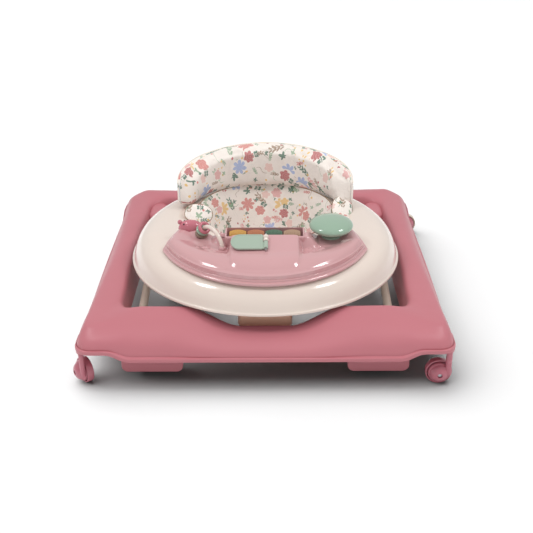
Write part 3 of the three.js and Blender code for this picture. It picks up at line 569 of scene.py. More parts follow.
def polish(node, name, material, slot, edge=0.5):
    """A finer copy of a plain CAD node: the same solid with its sharp edges rounded."""
    source = frame["nodes"][node]
    piece = bpy.data.objects.new(name, source.data.copy())
    scene.collection.objects.link(piece)
    if piece.data.has_custom_normals:
        piece.data.attributes.remove(piece.data.attributes["custom_normal"])
    clean(piece, 2e-5)
    modify(piece, "DECIMATE", decimate_type="DISSOLVE", angle_limit=math.radians(1))
    modify(piece, "BEVEL", width=edge * MM, segments=3, limit_method="ANGLE", angle_limit=math.radians(35),
           harden_normals=False)
    body = next(b for b, members in frame["record"]["behaviour"]["bodies"].items() if node in members)
    return dress(clean(piece), material, body, slot, node)


# ---------- base ring ----------
OUTER_X, OUTER_FRONT, OUTER_REAR, CORNER = 332.0, -336.0, 346.0, 28.0
OPEN_X, OPEN_FRONT, OPEN_REAR, OPEN_CORNER = 258.0, -232.0, 276.0, 46.0
WALL, SIDE_WIDTH, FRONT_WIDTH = 3.0, 74.0, 104.0
FLANGE_LOW, FLANGE_RAISED, RAISED_FROM, RAISED_TO = 59.0, 74.0, 95.0, 55.0
CROWN_FRONT, CROWN_SIDE, CROWN_REAR, SIDE_BULGE = 118.0, 113.0, 119.0, 4.0
SCOOP_HALF, SCOOP_FLAT, SCOOP_DROP, SCOOP_CUT = 138.0, 42.0, 24.0, 30.0
# The face above the flange, as shares of the ring's width and height: [across, up].
FRONT_FACE = [(0.06, 0.15), (0.075, 0.25), (0.16, 0.52), (0.35, 0.74), (0.6, 0.9), (0.8, 0.98),
              (0.92, 0.975), (0.98, 0.75), (1, 0.04)]
SIDE_FACE = [(0.06, 0.15), (0.085, 0.27), (0.18, 0.57), (0.33, 0.84), (0.5, 0.97), (0.66, 1), (0.8, 0.92),
             (0.92, 0.55), (1, 0.04)]
# The flange's rounded ledge: [in from the edge, up from the foot], in millimetres.
LEDGE = [(0.9, 0), (0.15, 0.5), (0, 1.2), (0, 5.6), (0.3, 6.7), (1.1, 7.4), (2.2, 7.6), (3.6, 7.7)]


def base_stations():
    """Places round the ring: outer edge, inner edge, and how much each is front or rear."""
    outer_x, inner_x = OUTER_X - CORNER, OPEN_X - OPEN_CORNER
    fronts = (OUTER_FRONT + CORNER, OPEN_FRONT + OPEN_CORNER)
    rears = (OUTER_REAR - CORNER, OPEN_REAR - OPEN_CORNER)
    stations = []

    def straight(start, end, steps, front, rear):
        for i in range(steps):
            stations.append([lerp(a, b, i / steps) for a, b in zip(start, end)] + [front, rear])

    def corner(sx, sy, start, steps=14):
        cy, iy = fronts if sy < 0 else rears
        for i in range(steps):
            a = math.radians(start + 90 * i / steps)
            end_share = smooth_step(1 - abs(math.cos(a)))
            stations.append([sx * outer_x + CORNER * math.cos(a), cy + CORNER * math.sin(a),
                             sx * inner_x + OPEN_CORNER * math.cos(a), iy + OPEN_CORNER * math.sin(a),
                             end_share if sy < 0 else 0, end_share if sy > 0 else 0])

    straight([-outer_x, OUTER_FRONT, -inner_x, OPEN_FRONT], [outer_x, OUTER_FRONT, inner_x, OPEN_FRONT],
             72, 1, 0)
    corner(1, -1, 270)
    straight([OUTER_X, fronts[0], OPEN_X, fronts[1]], [OUTER_X, rears[0], OPEN_X, rears[1]], 44, 0, 0)
    corner(1, 1, 0)
    straight([outer_x, OUTER_REAR, inner_x, OPEN_REAR], [-outer_x, OUTER_REAR, -inner_x, OPEN_REAR], 44, 0, 1)
    corner(-1, 1, 90)
    straight([-OUTER_X, rears[0], -OPEN_X, rears[1]], [-OUTER_X, fronts[0], -OPEN_X, fronts[1]], 44, 0, 0)
    corner(-1, -1, 180)
    return stations


def base_face(station, steps=4):
    """One cross-section's outer face, from the flange's foot over the crown and down the inner wall."""
    ox, oy, ix, iy, front, rear = station
    to_corner = math.hypot(OUTER_X - abs(ox), min(oy - OUTER_FRONT, OUTER_REAR - oy))
    raised = smooth_step((RAISED_FROM - to_corner) / (RAISED_FROM - RAISED_TO))
    scoop = front * smooth_step((SCOOP_HALF - abs(ix)) / (SCOOP_HALF - SCOOP_FLAT))
    turn = math.pi * (oy - OUTER_FRONT) / (OUTER_REAR - OUTER_FRONT)
    bulge = (1 - front) * (1 - rear) * SIDE_BULGE * math.sin(turn)
    outer = Vector((ox + math.copysign(bulge, ox), oy))
    inner = Vector((ix, iy - SCOOP_CUT * scoop))
    crown = CROWN_SIDE + front * (CROWN_FRONT - CROWN_SIDE) + rear * (CROWN_REAR - CROWN_SIDE)
    crown -= SCOOP_DROP * scoop
    flange = lerp(FLANGE_LOW, FLANGE_RAISED, raised)
    width = (inner - outer).length
    plain = min(width, lerp(SIDE_WIDTH, FRONT_WIDTH, front))

    def across(share):
        """How far in a share of the section lies: a corner is widened over its crown only."""
        return share * plain + (width - plain) * smooth_step((share - 0.5) / 0.3)

    shape = [Vector((across(lerp(sa, fa, front)), lerp(su, fu, front)))
             for (fa, fu), (sa, su) in zip(FRONT_FACE, SIDE_FACE)]
    face = []
    for d, up in spline(shape, steps):
        p = outer.lerp(inner, d / width)
        foot = lerp(flange, FLANGE_LOW, smooth_step(2 * d / width))
        face.append(Vector((p.x, p.y, foot + up * (crown - foot))))
    ledge = []
    for d, up in LEDGE:
        p = outer.lerp(inner, d / width)
        ledge.append(Vector((p.x, p.y, flange + up)))
    return ledge + face


def inner_skin(face):
    """The face moved inwards by the wall."""
    flat = (face[-1] - face[0])
    flat.z = 0
    flat.normalize()
    skin = []
    for i, p in enumerate(face):
        along = (face[min(i + 2, len(face) - 1)] - face[max(i - 2, 0)]).normalized()
        out = Vector((along.dot(flat), along.z)).normalized()
        is_end = i in (0, len(face) - 1)
        drop = 0 if is_end else out.x * WALL
        skin.append(p + flat * (WALL if i == 0 else out.y * WALL) - Vector((0, 0, drop)))
    return skin


STOP_INNER, STOP_OUTER, STOP_DEPTH, STOP_FOOT, STOP_CORNER = 147.0, 257.0, 45.0, 15.0, 12.0
STOPS = {"front": (-275.0, 102.0), "rear": (306.0, 97.0)}


def stop_block(side, y, top):
    """A foot that meets the floor when a caster drops over an edge."""
    x0, x1 = sorted((side * STOP_INNER, side * STOP_OUTER))
    outline = rounded_rectangle(x0, x1, STOP_FOOT, top, STOP_CORNER)[9:]
    outline = [(x, z) for x, z in outline if z < top - 14] + [(x1, top), (x0, top)]
    block = plate("stop", outline, -STOP_DEPTH / 2, STOP_DEPTH / 2, 2.0)
    place(block, slide(0, y) @ spin(90, "X"))
    clean(block)
    pocket = plate("pocket", rounded_rectangle(x0 + WALL, x1 - WALL, STOP_FOOT + WALL, 170, 10),
                   -STOP_DEPTH / 2, STOP_DEPTH / 2, 1.0)
    shift = -math.copysign(WALL, y)
    place(pocket, slide(0, y + shift) @ spin(90, "X"))
    return cut(block, clean(pocket))


CASTER_X, CASTER_YS = 322.0, (-318.0, 325.0)
# The socket a caster's stem turns in: its outside as [radius, height], its hole's radius and the hole's end.
SOCKET, HOLE_FIT, SOCKET_DEPTH = [(0, 70), (8.4, 70), (9, 70.6), (9, 86), (0, 86)], 4.3, 79.5


def make_base():
    faces = [base_face(s) for s in base_stations()]
    base = loft("base_moulding", [f + inner_skin(f)[::-1] for f in faces], loop=True)
    core = loft("core", [f + [Vector((p.x, p.y, 60)) for p in (f[-1], f[0])] for f in faces], loop=True)
    for side in (-1, 1):
        for y, top in STOPS.values():
            join(base, stop_block(side, y, top))
        boss = plate("boss", [(side * x, y) for x, y in rounded_rectangle(226, 268, 204, 283, 17)], 44, 104,
                     13, steps=7)
        join(base, boss)
        for caster_y in CASTER_YS:
            spot = slide(side * CASTER_X, caster_y)
            socket = place(lathe("socket", SOCKET, 48), spot)
            trimmed = core.copy()
            trimmed.data = core.data.copy()
            scene.collection.objects.link(trimmed)
            boolean(socket, trimmed, "INTERSECT")
            join(base, socket)
            cut(base, place(drum("hole", HOLE_FIT, 60, SOCKET_DEPTH, 32), spot))
    bpy.data.objects.remove(core)
    place(base, slide(MIDDLE_X, LEG_Y))
    return dress(base, PINK, "base", "base_pink", "base_shell", angle=34)


# ---------- casters ----------
def caster_frame(name):
    """The axle's frame: X along the axle, away from the disc on the front casters, and Z up."""
    roll = joints[f"roll_{name}"]
    x = Vector(roll["axis"])
    y = Vector((0, 0, 1)).cross(x)
    return Matrix.Translation(Vector(roll["pos_m"])) @ axes(x, y, Vector((0, 0, 1)))


TO_AXLE = spin(-90, "Y")  # a piece turned about Z comes to lie along -X
TRAIL, OFFSET, SOCKET_FOOT, WHEEL = 15.0, 5.5, 70.0, 23.5


def make_caster(name, rear):
    matrix = caster_frame(name)
    if rear:  # the rear casters mirror the front ones, and their axle points the same way
        matrix = matrix @ Matrix.Scale(-1, 4, (1, 0, 0))
    disc = lathe("disc", [(0, -2), (18.6, -2), (19.5, -1.2), (19.5, 2.2), (19.1, 3.2), (17.6, 5.0),
                          (17.2, 5.2), (16.9, 5.0), (16.5, 5.9), (14.2, 9.3), (11.4, 12), (8, 13.9),
                          (4.9, 14.8), (4.4, 14.7), (4.2, 14), (4.2, 9), (0, 9)], 72)
    place(disc, TO_AXLE)
    hub = lathe("hub", [(0, -4.7), (4.4, -4.7), (4.5, -4.5), (4.5, 0), (0, 0)], 40)
    join(disc, place(hub, TO_AXLE))
    arm_top = SOCKET_FOOT - WHEEL - 0.3
    arm = lathe("arm", [(0, -4), (3.5, -3.4), (5.2, -1.5), (5.7, 1), (5.5, 20), (5.4, arm_top - 1),
                        (4.9, arm_top), (0, arm_top)], 48)
    join(disc, place(arm, slide(-OFFSET, -TRAIL) @ Matrix.Diagonal((0.85, 1, 1, 1))))
    join(disc, plate("web", rounded_rectangle(-OFFSET - 3, -OFFSET + 4, -TRAIL, 0, 1.5), -6, 14, 1.2))
    stem = lathe("stem", [(0, arm_top - 2), (4, arm_top - 2), (4, arm_top + 8), (3.2, arm_top + 9),
                          (0, arm_top + 9)], 32)
    join(disc, place(stem, slide(-OFFSET, -TRAIL)))
    fork = place(disc, matrix)
    fork.name = f"fork_{name}"
    dress(fork, PINK_TRIM, f"caster_{name}", "trim_pink", f"caster_fork_{name}", angle=30)

    r = WHEEL
    wheel = lathe(f"wheel_{name}", [
        (2.3, -13), (8, -13), (8.6, -12.4), (9.4, -12.2), (17.5, -12.2), (18.2, -12.8), (r - 2.6, -13),
        (r - 1.2, -12.6), (r - 0.3, -11.6), (r, -10.2), (r, -1.2), (r - 0.2, -0.4), (r - 0.8, 0),
        (r - 1.8, 0), (r - 2.4, -0.4), (r - 2.6, -1), (r - 3, -8), (8, -10), (6, -5), (2.3, -5)],
        96, closed=True)
    place(wheel, matrix @ TO_AXLE)
    dress(wheel, CREAM_WHEEL if rear else PINK_TRIM, f"wheel_{name}",
          "cream_plastic" if rear else "trim_pink", f"caster_wheel_{name}", angle=30)

    screw = lathe("screw", [(0, 9.3), (3.6, 9.3), (3.8, 9.6), (3.8, 11.6), (3.4, 12.5), (2.4, 13.1),
                            (0, 13.3)], 48)
    cut(screw, plate("slot", rounded_rectangle(-5, 5, -0.45, 0.45, 0.2), 12.2, 15, 0.1))
    shank = lathe("shank", [(0, -11.4), (1.6, -11.4), (2, -11), (2, 9.5), (0, 9.5)], 24)
    join(screw, shank)
    place(screw, matrix @ TO_AXLE)
    screw.name = f"screw_{name}"
    dress(screw, STEEL, f"caster_{name}", "steel", f"caster_screw_{name}", angle=30)


# ---------- crossed legs ----------
CROSS_Y = (215.0 - 218.0) / 2
LOWER_ARM, UPPER_ARM, PIVOT_Z, LEG_RISE = 216.5, 190.0, 52.0, 58.0
LEG_SLOPE = LEG_RISE / (LOWER_ARM + UPPER_ARM)
CROSS_Z = PIVOT_Z + LOWER_ARM * LEG_SLOPE
TUBE, TUBE_BORE, OVERRUN = 8.0, 6.8, 12.0


def make_leg(name, half_width, bend, open_y, bar_y, towards, body, node):
    """A U-shaped tube of two arms, two quarter bends and a crossbar."""
    def at(x, y):
        return Vector((x + MIDDLE_X, y + LEG_Y, CROSS_Z + towards * (y - CROSS_Y) * LEG_SLOPE))

    bend_y = bar_y - towards * bend
    middle = half_width - bend
    path = [at(-half_width, lerp(open_y, bend_y, i / 10)) for i in range(10)]
    quarter = [math.radians(90 * i / 16) for i in range(17)]
    path += [at(-middle - bend * math.cos(a), bend_y + towards * bend * math.sin(a)) for a in quarter]
    path += [at(lerp(-middle, middle, i / 8), bar_y) for i in range(1, 8)]
    path += [at(middle + bend * math.cos(a), bend_y + towards * bend * math.sin(a)) for a in quarter[::-1]]
    path += [at(half_width, lerp(bend_y, open_y, i / 10)) for i in range(1, 11)]
    tube = sweep(name, path, TUBE, 32)
    bore = sweep("bore", [path[0] * 2 - path[1]] + path + [path[-1] * 2 - path[-2]], TUBE_BORE, 24)
    cut(tube, bore)
    return dress(tube, TUBE_COAT, body, "cream_tube", node, angle=40)


# ---------- round tray ----------
TRAY_Y, TRAY_BOTTOM, TRAY_TOP, TRAY_STRETCH = -27.0, 124.0, 182.0, 1.05
TRAY_SLOPE_Y, TRAY_SLOPE = -60.0, 0.0583  # the deck falls by this slope in front of this line
HOLE_Y, HOLE_RADIUS = 30.0, 150.0
TRAY_FACE = [(261.4, 130.2), (260.2, 132.5), (258.6, 138), (255.6, 148), (250.4, 159.5), (242, 170.3),
             (231, 177.6), (221, 181), (212, 182)]
TRAY_RIM = [(263.4, 124), (264, 124.6), (264, 128), (263.7, 129), (263, 129.6), (262, 129.8)]
TRAY_UNDER = [(211, 179), (229, 175), (239, 168), (249, 154), (256, 136), (259, 124)]


def make_tray(stations=160):
    face = curve(TRAY_FACE, 4)
    under = curve(TRAY_UNDER, 3)
    rings = []
    for i in range(stations):
        a = 2 * math.pi * i / stations
        c, s = math.cos(a), math.sin(a)
        stretch = TRAY_STRETCH if s > 0 else 1

        def rim(r, z):
            return Vector((r * c, TRAY_Y + r * s * stretch, z))

        def hole(r, z):
            return Vector((r * c, HOLE_Y + r * s, z))

        edge, lip = rim(212, 182), hole(HOLE_RADIUS + 1.2, 182)
        ring = [rim(*p) for p in TRAY_RIM + face]
        ring += [edge.lerp(lip, t) for t in (0.25, 0.5, 0.75, 1)]
        ring += [hole(HOLE_RADIUS + 0.3, 181.6), hole(HOLE_RADIUS, 180.8), hole(HOLE_RADIUS, 168),
                 hole(HOLE_RADIUS + 3, 168), hole(HOLE_RADIUS + 3, 179)]
        ring += [rim(*p) for p in under]
        for p in ring:
            top = TRAY_TOP - TRAY_SLOPE * max(0.0, TRAY_SLOPE_Y - p.y)
            p.z = TRAY_BOTTOM + (p.z - TRAY_BOTTOM) * (top - TRAY_BOTTOM) / (TRAY_TOP - TRAY_BOTTOM)
        rings.append(ring)
    tray = loft("tray_deck", rings, loop=True)
    place(tray, slide(MIDDLE_X, LEG_Y))
    return dress(tray, CREAM, "tray", "cream_gloss", "tray_ring", angle=40)


def make_seat_ring():
    ring = lathe("seat_rim", [
        (141.5, 170.4), (141.9, 170), (149.1, 170), (149.5, 170.4), (149.5, 182.3), (156.6, 182.3),
        (157, 182.7), (157, 184.6), (156.4, 185.6), (155.2, 186), (143, 186), (142, 185.7), (141.5, 184.8)],
        160, closed=True)
    place(ring, slide(MIDDLE_X, HOLE_Y + LEG_Y))
    return dress(ring, CREAM, "tray", "cream_gloss", "seat_ring")


# ---------- toy tray and toys ----------
TOYS = (slide(MIDDLE_X, TRAY_SLOPE_Y + LEG_Y, TRAY_TOP + 0.3)
        @ Matrix.Rotation(math.atan(TRAY_SLOPE), 4, "X"))
TOY_RADIUS, TOY_REAR, PLATEAU = 206.5, 161.0, 16.0
SEAT_V = HOLE_Y - TRAY_SLOPE_Y


ROLLER_V, ROLLER_HEIGHT, ROLLER_PITCH = -76.0, 28.0, 33.4
WIRE_HEIGHT = 4.5  # of the page's wire, over the page's own zero


def toy_outline(d):
    """The crescent's outline, d inside its widest line, in the toy tray's own plane."""
    rear = TOY_REAR + 0.15 * d
    rear_x = 125 - 0.6 * d
    rear_angle = math.asin(rear_x / rear)
    start = math.radians(-22)
    nose = curve([
        (rear_x, SEAT_V - rear * math.cos(rear_angle)), (140 - 0.8 * d, -2.5 - 0.5 * d),
        (158 - 0.95 * d, -1 - 0.8 * d), (171 - d, -11 - 0.8 * d), (180 - d, -32 - 0.3 * d), (187 - d, -56),
        ((TOY_RADIUS - d) * math.cos(start), (TOY_RADIUS - d) * math.sin(start))], 6)
    right = [(rear * math.sin(rear_angle * i / 16), SEAT_V - rear * math.cos(rear_angle * i / 16))
             for i in range(16)]
    right += nose
    for i in range(36):
        a = math.radians(-22 - 68 * (i + 1) / 36)
        right.append(((TOY_RADIUS - d) * math.cos(a), (TOY_RADIUS - d) * math.sin(a)))
    left = [(-x, y) for x, y in right[1:-1]][::-1]
    return right + left


# The crescent's flange: [in from the widest line, height], two ledges below the rounded wall.
TOY_EDGE = [(0.5, 0), (0, 0.6), (0, 3.4), (0.3, 4.3), (1.1, 4.9), (2.2, 5), (4.6, 5), (5.2, 5.2),
            (5.5, 5.8), (5.7, 7.2), (6.1, 8), (6.9, 8.4), (8, 8.6), (9.5, 8.6)]
# The middle block: [forward of the seat's side, height].
BLOCK_SIDE = ((57, 35), (61, 38.5), (70, 40.5), (92, 42.6), (117, 37.6), (139, 32.8), (150, 32),
              (160, 31.2), (168, 29.3), (175, 26), (182, 21), (189, 15), (196, 8))
# The moulded flowers' bumps in the toy tray's plane: middle x and y, radius, height.
RELIEF = [(95 + 11 * math.cos(math.radians(a)), -104 + 8 * math.sin(math.radians(a)), 4.6, 2.6)
          for a in range(0, 360, 60)]
RELIEF += [(95, -104, 4.2, 3.2), (-98, -104, 6, 1.6), (-112, -97, 6, 1.6), (-106, -112, 6, 1.6),
           (-124, -101, 5, 1.5), (-92, -115, 5, 1.5)]


def soft(t):
    """smooth_step for whole arrays."""
    t = np.clip(t, 0, 1)
    return t * t * (3 - 2 * t)


def edge_distance(x, v):
    """How far each point lies inside the crescent's front and side edge."""
    line = [p for p in toy_outline(0) if math.hypot(p[0], p[1] - SEAT_V) > TOY_REAR + 2]
    best = np.full(x.shape, 1e9)
    for (x0, v0), (x1, v1) in zip(line, line[1:]):
        dx, dv = x1 - x0, v1 - v0
        if math.hypot(dx, dv) > 60:
            continue
        t = np.clip(((x - x0) * dx + (v - v0) * dv) / max(dx * dx + dv * dv, 1e-9), 0, 1)
        best = np.minimum(best, np.hypot(x - x0 - t * dx, v - v0 - t * dv))
    return best


def toy_heights(x, v):
    """The dished top: rounded walls, a middle block, ramps beside the roller housing and moulded flowers."""
    d = edge_distance(x, v)
    reach = np.abs(x)
    crest_at = np.clip(23 + 0.33 * (164 - reach), 22, 56)
    rise = 1 - (1 - np.clip((d - 7.5) / (crest_at - 7.5), -0.4, 1)) ** 3.1
    side = 8 + 17 * rise
    fall = soft((d - crest_at) / 20)
    side = side + (PLATEAU + 3 - side) * fall
    for bx, bv, radius, high in RELIEF:
        side = side + high * np.exp(-(((x - bx) ** 2 + (1.25 * (v - bv)) ** 2) / (0.75 * radius) ** 2) ** 1.5)
    start = np.where(x < 0, -89, -106)  # on the left the rose ring needs room on its arch
    ramp = PLATEAU + 21 * soft((108 - reach) / 33) * soft((v - start) / 18)
    side = np.maximum(side, ramp)
    forward = -v + (np.hypot(x, v) * (206.5 / TOY_RADIUS) + v) * soft((-v - 110) / 50)
    block = np.interp(forward, *zip(*curve(BLOCK_SIDE, 8)))
    shoulder = 3.2 * (1 - np.sqrt(np.clip(1 - np.clip((reach - 48) / 14, 0, 1) ** 2, 0, 1)))
    height = side + soft((70 - reach) / 9.5) * np.maximum(0, block - shoulder - side)
    behind = np.hypot(x, v - SEAT_V) - TOY_REAR
    past = np.clip(behind - 7, 0, 99)
    return np.minimum(height, 8.4 + 1.1 * past + 0.12 * past ** 2)


def toy_dome():
    across, along = np.linspace(-208, 208, 279), np.linspace(-208, 4, 143)
    x, v = np.meshgrid(across, along)
    heights = np.maximum(toy_heights(x, v), 2.5)
    rings = []
    for row, at in enumerate(along):
        top = [(float(c), float(at), float(h)) for c, h in zip(across, heights[row])]
        rings.append(top + [(208.0, float(at), 1.0), (-208.0, float(at), 1.0)])
    dome = loft("dome", rings)
    trim = loft("trim", [[(px, py, h) for px, py in toy_outline(8.3)] for h in (1.6, 60)])
    return boolean(dome, trim, "INTERSECT")


def make_toy_tray():
    body = loft("toy_deck", [[(x, y, h) for x, y in toy_outline(d)] for d, h in TOY_EDGE])
    join(body, toy_dome())
    join(body, plate("housing", rounded_rectangle(-74, 74, -96, -56, 4), 4, 39.5, 3))
    cut(body, loft("under", [[(x, y, h) for x, y in toy_outline(d)] for d, h in ((9, -2), (12, 7))]))
    cut(body, plate("recess", rounded_rectangle(-70.5, 70.5, -93, -59, 2), 11.5, 60, 1.5))
    cut(body, place(drum("well", 158, -12, 9, 128), slide(0, SEAT_V)))
    cut(body, place(drum("bore", 2.8, -100, 100, 24), slide(0, ROLLER_V, ROLLER_HEIGHT) @ spin(90, "Y")))
    place(body, TOYS)
    return dress(body, BLUSH, "tray", "blush_gloss", "toy_tray", angle=30)


def make_rollers():
    """Four barrels with a fine diamond knurl, on one axle."""
    for i, (name, paint) in enumerate(ROLLER_PAINTS.items()):
        barrel = curve([(8, -16), (11, -15.5), (12.7, -13), (14.4, -7), (15, 0), (14.4, 7), (12.7, 13),
                        (11, 15.5), (8, 16)], 7)
        roller = lathe(f"barrel_{name}", [(2.8, -16)] + barrel + [(2.8, 16)], 120, closed=True)
        for vertex in roller.data.vertices:
            x, y, z = vertex.co / MM
            r = math.hypot(x, y)
            if r > 11:
                turn = math.atan2(y, x)
                knurl = math.sin(18 * turn + z * 1.2) * math.sin(18 * turn - z * 1.2)
                fade = smooth_step((15.5 - abs(z)) / 3)
                vertex.co.xy *= 1 - 1.2 * fade * (0.5 - 0.5 * knurl) / r
        place(roller, TOYS @ slide((i - 1.5) * ROLLER_PITCH, ROLLER_V, ROLLER_HEIGHT) @ spin(90, "Y"))
        dress(roller, paint, f"roller_{name}", f"{name}_plastic", f"roller_{name}")
    polish("roller_axle", "axle", STEEL, "steel", 0.4)


def make_mushroom():
    spot = TOYS @ slide(124, -52)
    middle, half = 41.0, 14.5
    rim = [Vector((41 * math.cos(math.radians(a)), middle + half * math.sin(math.radians(a))))
           for a in (-62, -45, -30, -15, 0, 12, 25, 38, 52, 66, 80, 90)]
    profile = [(0, middle - 4), (5.6, middle - 4), (5.6, middle - 8.2), (17, middle - 8.2),
               (17.6, middle - 8.6)]
    cap = lathe("mushroom_knob", profile + curve(rim, 4), 128)
    place(cap, spot)
    dress(cap, MINT, "mushroom", "mint_gloss", "mushroom_cap")
    neck = lathe("mushroom_neck", [
        (0, 16.3), (18.6, 16.3), (19.2, 16.8), (19.2, 21.6), (18.6, 22.4), (17.4, 22.8), (16.6, 23.6),
        (16.2, 25), (16, 30), (15.4, 30.6), (5, 30.8), (5, 35), (4.4, 35.5), (0, 35.5)], 80)
    place(neck, spot)
    dress(neck, MINT, "tray", "mint_gloss", "mushroom_stem")


def make_page():
    """A thick leaf with a raised border and printed-looking grooves, that turns on a wire with two beads."""
    spot = TOYS @ slide(2, -117, 37.6) @ spin(12.3, "X")
    outline = [(-47 + 17 * math.cos(a), 20 * math.sin(a)) for a in
               (math.pi / 2 + math.pi * i / 24 for i in range(25))]
    outline += [(-8, -20), (-5, -17.5), (-5, 17.5), (-8, 20)]
    leaf = plate("leaf", outline, 1.5, 5.5, 1.3)
    inset = [(-47 + 14.2 * math.cos(a), 17 * math.sin(a)) for a in
             (math.pi / 2 + math.pi * i / 24 for i in range(25))]
    inset += [(-11, -17), (-9.5, -15.5), (-9.5, 15.5), (-11, 17)]
    cut(leaf, plate("panel", inset, 5.1, 8, 0.3))
    cut(leaf, plate("panel", inset, -2, 2.0, 0.4))
    knuckle = lathe("knuckle", [(0, -9), (3.5, -9), (4, -8.5), (4, 8.5), (3.5, 9), (0, 9)], 40)
    join(leaf, place(knuckle, slide(0, -10, WIRE_HEIGHT) @ spin(90, "X")))
    join(leaf, plate("web", rounded_rectangle(-8, -1, -19, -1, 0.8), 2, 5, 0.4))
    cut(leaf, place(drum("bore", 1.8, -40, 40, 24), slide(0, 0, WIRE_HEIGHT) @ spin(90, "X")))
    leaf.name = "page_leaf"
    place(leaf, spot)
    dress(leaf, SAGE, "page", "mint_gloss", "page", angle=30)
    for name, y in (("front", 4.5), ("rear", 12.5)):
        bead = lathe(f"bead_{name}", curve([(1.9, -3.2), (3.2, -3.9), (4.6, -2.5), (5, 0), (4.6, 2.5),
                                            (3.2, 3.9), (1.9, 3.2)], 4), 48, closed=True)
        place(bead, spot @ slide(0, y, WIRE_HEIGHT) @ spin(90, "X"))
        dress(bead, CREAM, f"bead_{name}", "cream_gloss", f"page_bead_{name}")
    polish("page_wire", "wire_hinge", STEEL, "steel", 0.4)


def make_animal():
    """A small hedgehog: a prickly back, a smooth snout with a ball nose, and two bead eyes."""
    spot = TOYS @ slide(0, 0, PLATEAU)
    body = unit_sphere("hedgehog", 6)
    snout = Vector((-1, 0.05, -0.05)).normalized()
    for vertex in body.data.vertices:
        p = vertex.co.copy()
        back = smooth_step((p.dot(-snout) + 0.55) / 0.5)
        spike = max(0.0, 1 - noise.voronoi(p * 5.2)[0][0] * 2.6)
        lift = 1 - 0.045 * back + 0.045 * back * spike
        shape = Vector((p.x * 24, p.y * 14.5, p.z * 18)) * lift
        shape.y *= 1 - 0.2 * (1 - back)
        vertex.co = (shape + Vector((-141, -29, 7))) * MM
    cut(body, plate("cut", rounded_rectangle(-200, -90, -60, 10, 2), -40, 0.35, 0.1))
    snout_bar = lathe("snout", [(0, -6), (5.0, -6), (4.6, 0), (3.4, 4), (0, 5)], 32)
    join(body, place(snout_bar, slide(-158, -26, 16) @ spin(-60, "Y")))
    join(body, place(ball("nose", 4.5, 16, 40), slide(-162, -26, 19)))
    place(body, spot)
    dress(body, ROSE, "tray", "rose_gloss", "animal", angle=60)
    for side, v in (("near", -35.2), ("far", -20.4)):
        eye = place(ball(f"eye_{side}", 1.7, 12, 32), spot @ slide(-153.5, v, 19))
        dress(eye, DARK, "tray", "rose_gloss")


ARCH_RADIUS, ARCH_ROD = 33.0, 3.9


def make_arch():
    spot = (TOYS @ slide(-99, -78, PLATEAU + 0.3)
            @ spin(-50.5, "Z"))
    path = [(ARCH_RADIUS * math.cos(a), 0, ARCH_RADIUS * math.sin(a)) for a in
            (math.pi * i / 48 for i in range(49))]
    rod = sweep("arch_bar", path, ARCH_ROD, 28)
    place(rod, spot)
    dress(rod, CREAM, "tray", "cream_gloss", "arch_rod")
    for side, name in ((-1, "rear"), (1, "front")):
        boss = lathe(f"arch_boss_{name}", [(3.95, 0.2), (7.2, 0.2), (7.2, 4.2), (6.8, 6), (5.8, 7.6),
                                           (4.8, 8.2), (3.95, 8.2)], 56, closed=True)
        place(boss, spot @ slide(side * ARCH_RADIUS, 0))
        dress(boss, BLUSH, "tray", "blush_gloss")
    for name, degrees, material, slot_name in (("taupe", 166, TAUPE, "taupe_plastic"),
                                               ("green", 148.7, MINT, "mint_gloss"),
                                               ("rose", 131.4, ROSE, "rose_gloss")):
        section = [(9 + 3.3 * math.cos(t), 3.3 * math.sin(t)) for t in
                   (2 * math.pi * i / 24 for i in range(24))]
        ring = lathe(f"ring_{name}_toy", section, 96, closed=True)
        place(ring, spot @ spin(-degrees, "Y")
              @ slide(ARCH_RADIUS, 0))
        dress(ring, material, f"ring_{name}", slot_name, f"ring_{name}")


def make_lever():
    grip = plate("lever_grip", rounded_rectangle(-49, 49, -248, -224, 8), 79, 104, 3.5)
    cut(grip, plate("hollow", rounded_rectangle(-34, 34, -239, -229, 3), 80, 98, 1))
    place(grip, slide(MIDDLE_X, LEG_Y))
    # The grip's colour is painted paler, as painted light against the shade under the tray.
    return dress(grip, TAN_PAINTED_LIT, "lever", "tan_plastic", "adjuster_lever")


# ---------- seat ----------
SEAT_X, SEAT_Y = MIDDLE_X, HOLE_Y + LEG_Y
BACK_X, BACK_Y, BACK_THICK, BACK_FOOT, BACK_LOW, BACK_HIGH = 187.5, 153.0, 31.0, 187.0, 239.0, 292.0
BACK_END = 0.12  # the pad starts this far round, in radians


def back_top(a):
    return BACK_LOW + (BACK_HIGH - BACK_LOW) * max(0.0, math.sin(a)) ** 0.6


def around(depth, a, z):
    """A point on the padded back: depth in from its outer face, at angle a round the seat."""
    return Vector((SEAT_X + (BACK_X - depth) * math.cos(a), SEAT_Y + (BACK_Y - depth) * math.sin(a), z))


def inflate(piece, voxel, pressure, cap):
    """Blows a closed mesh up as cloth, and lets no point move further than cap millimetres."""
    modify(piece, "REMESH", mode="VOXEL", voxel_size=voxel * MM)
    cloth = piece.modifiers.new("Cloth", "CLOTH")
    cloth.settings.use_pressure = True
    cloth.settings.uniform_pressure_force = pressure
    cloth.settings.effector_weights.gravity = 0
    cloth.settings.quality = 5
    for step in range(1, 21):
        scene.frame_set(step)
    graph = bpy.context.evaluated_depsgraph_get()
    moved = [v.co.copy() for v in piece.evaluated_get(graph).data.vertices]
    piece.modifiers.clear()
    scene.frame_set(1)
    for vertex, target in zip(piece.data.vertices, moved):
        move = target - vertex.co
        if move.length > cap * MM:
            move *= cap * MM / move.length
        vertex.co += move
    return piece


def set_uv(piece, place_of):
    """Gives the piece a UV map in metres of cloth. place_of turns a point in millimetres into (u, v)."""
    layer = piece.data.uv_layers.new(name="cloth")
    spots = [place_of(v.co / MM) for v in piece.data.vertices]
    for loop in piece.data.loops:
        u, v = spots[loop.vertex_index]
        layer.data[loop.index].uv = (u * MM, v * MM)


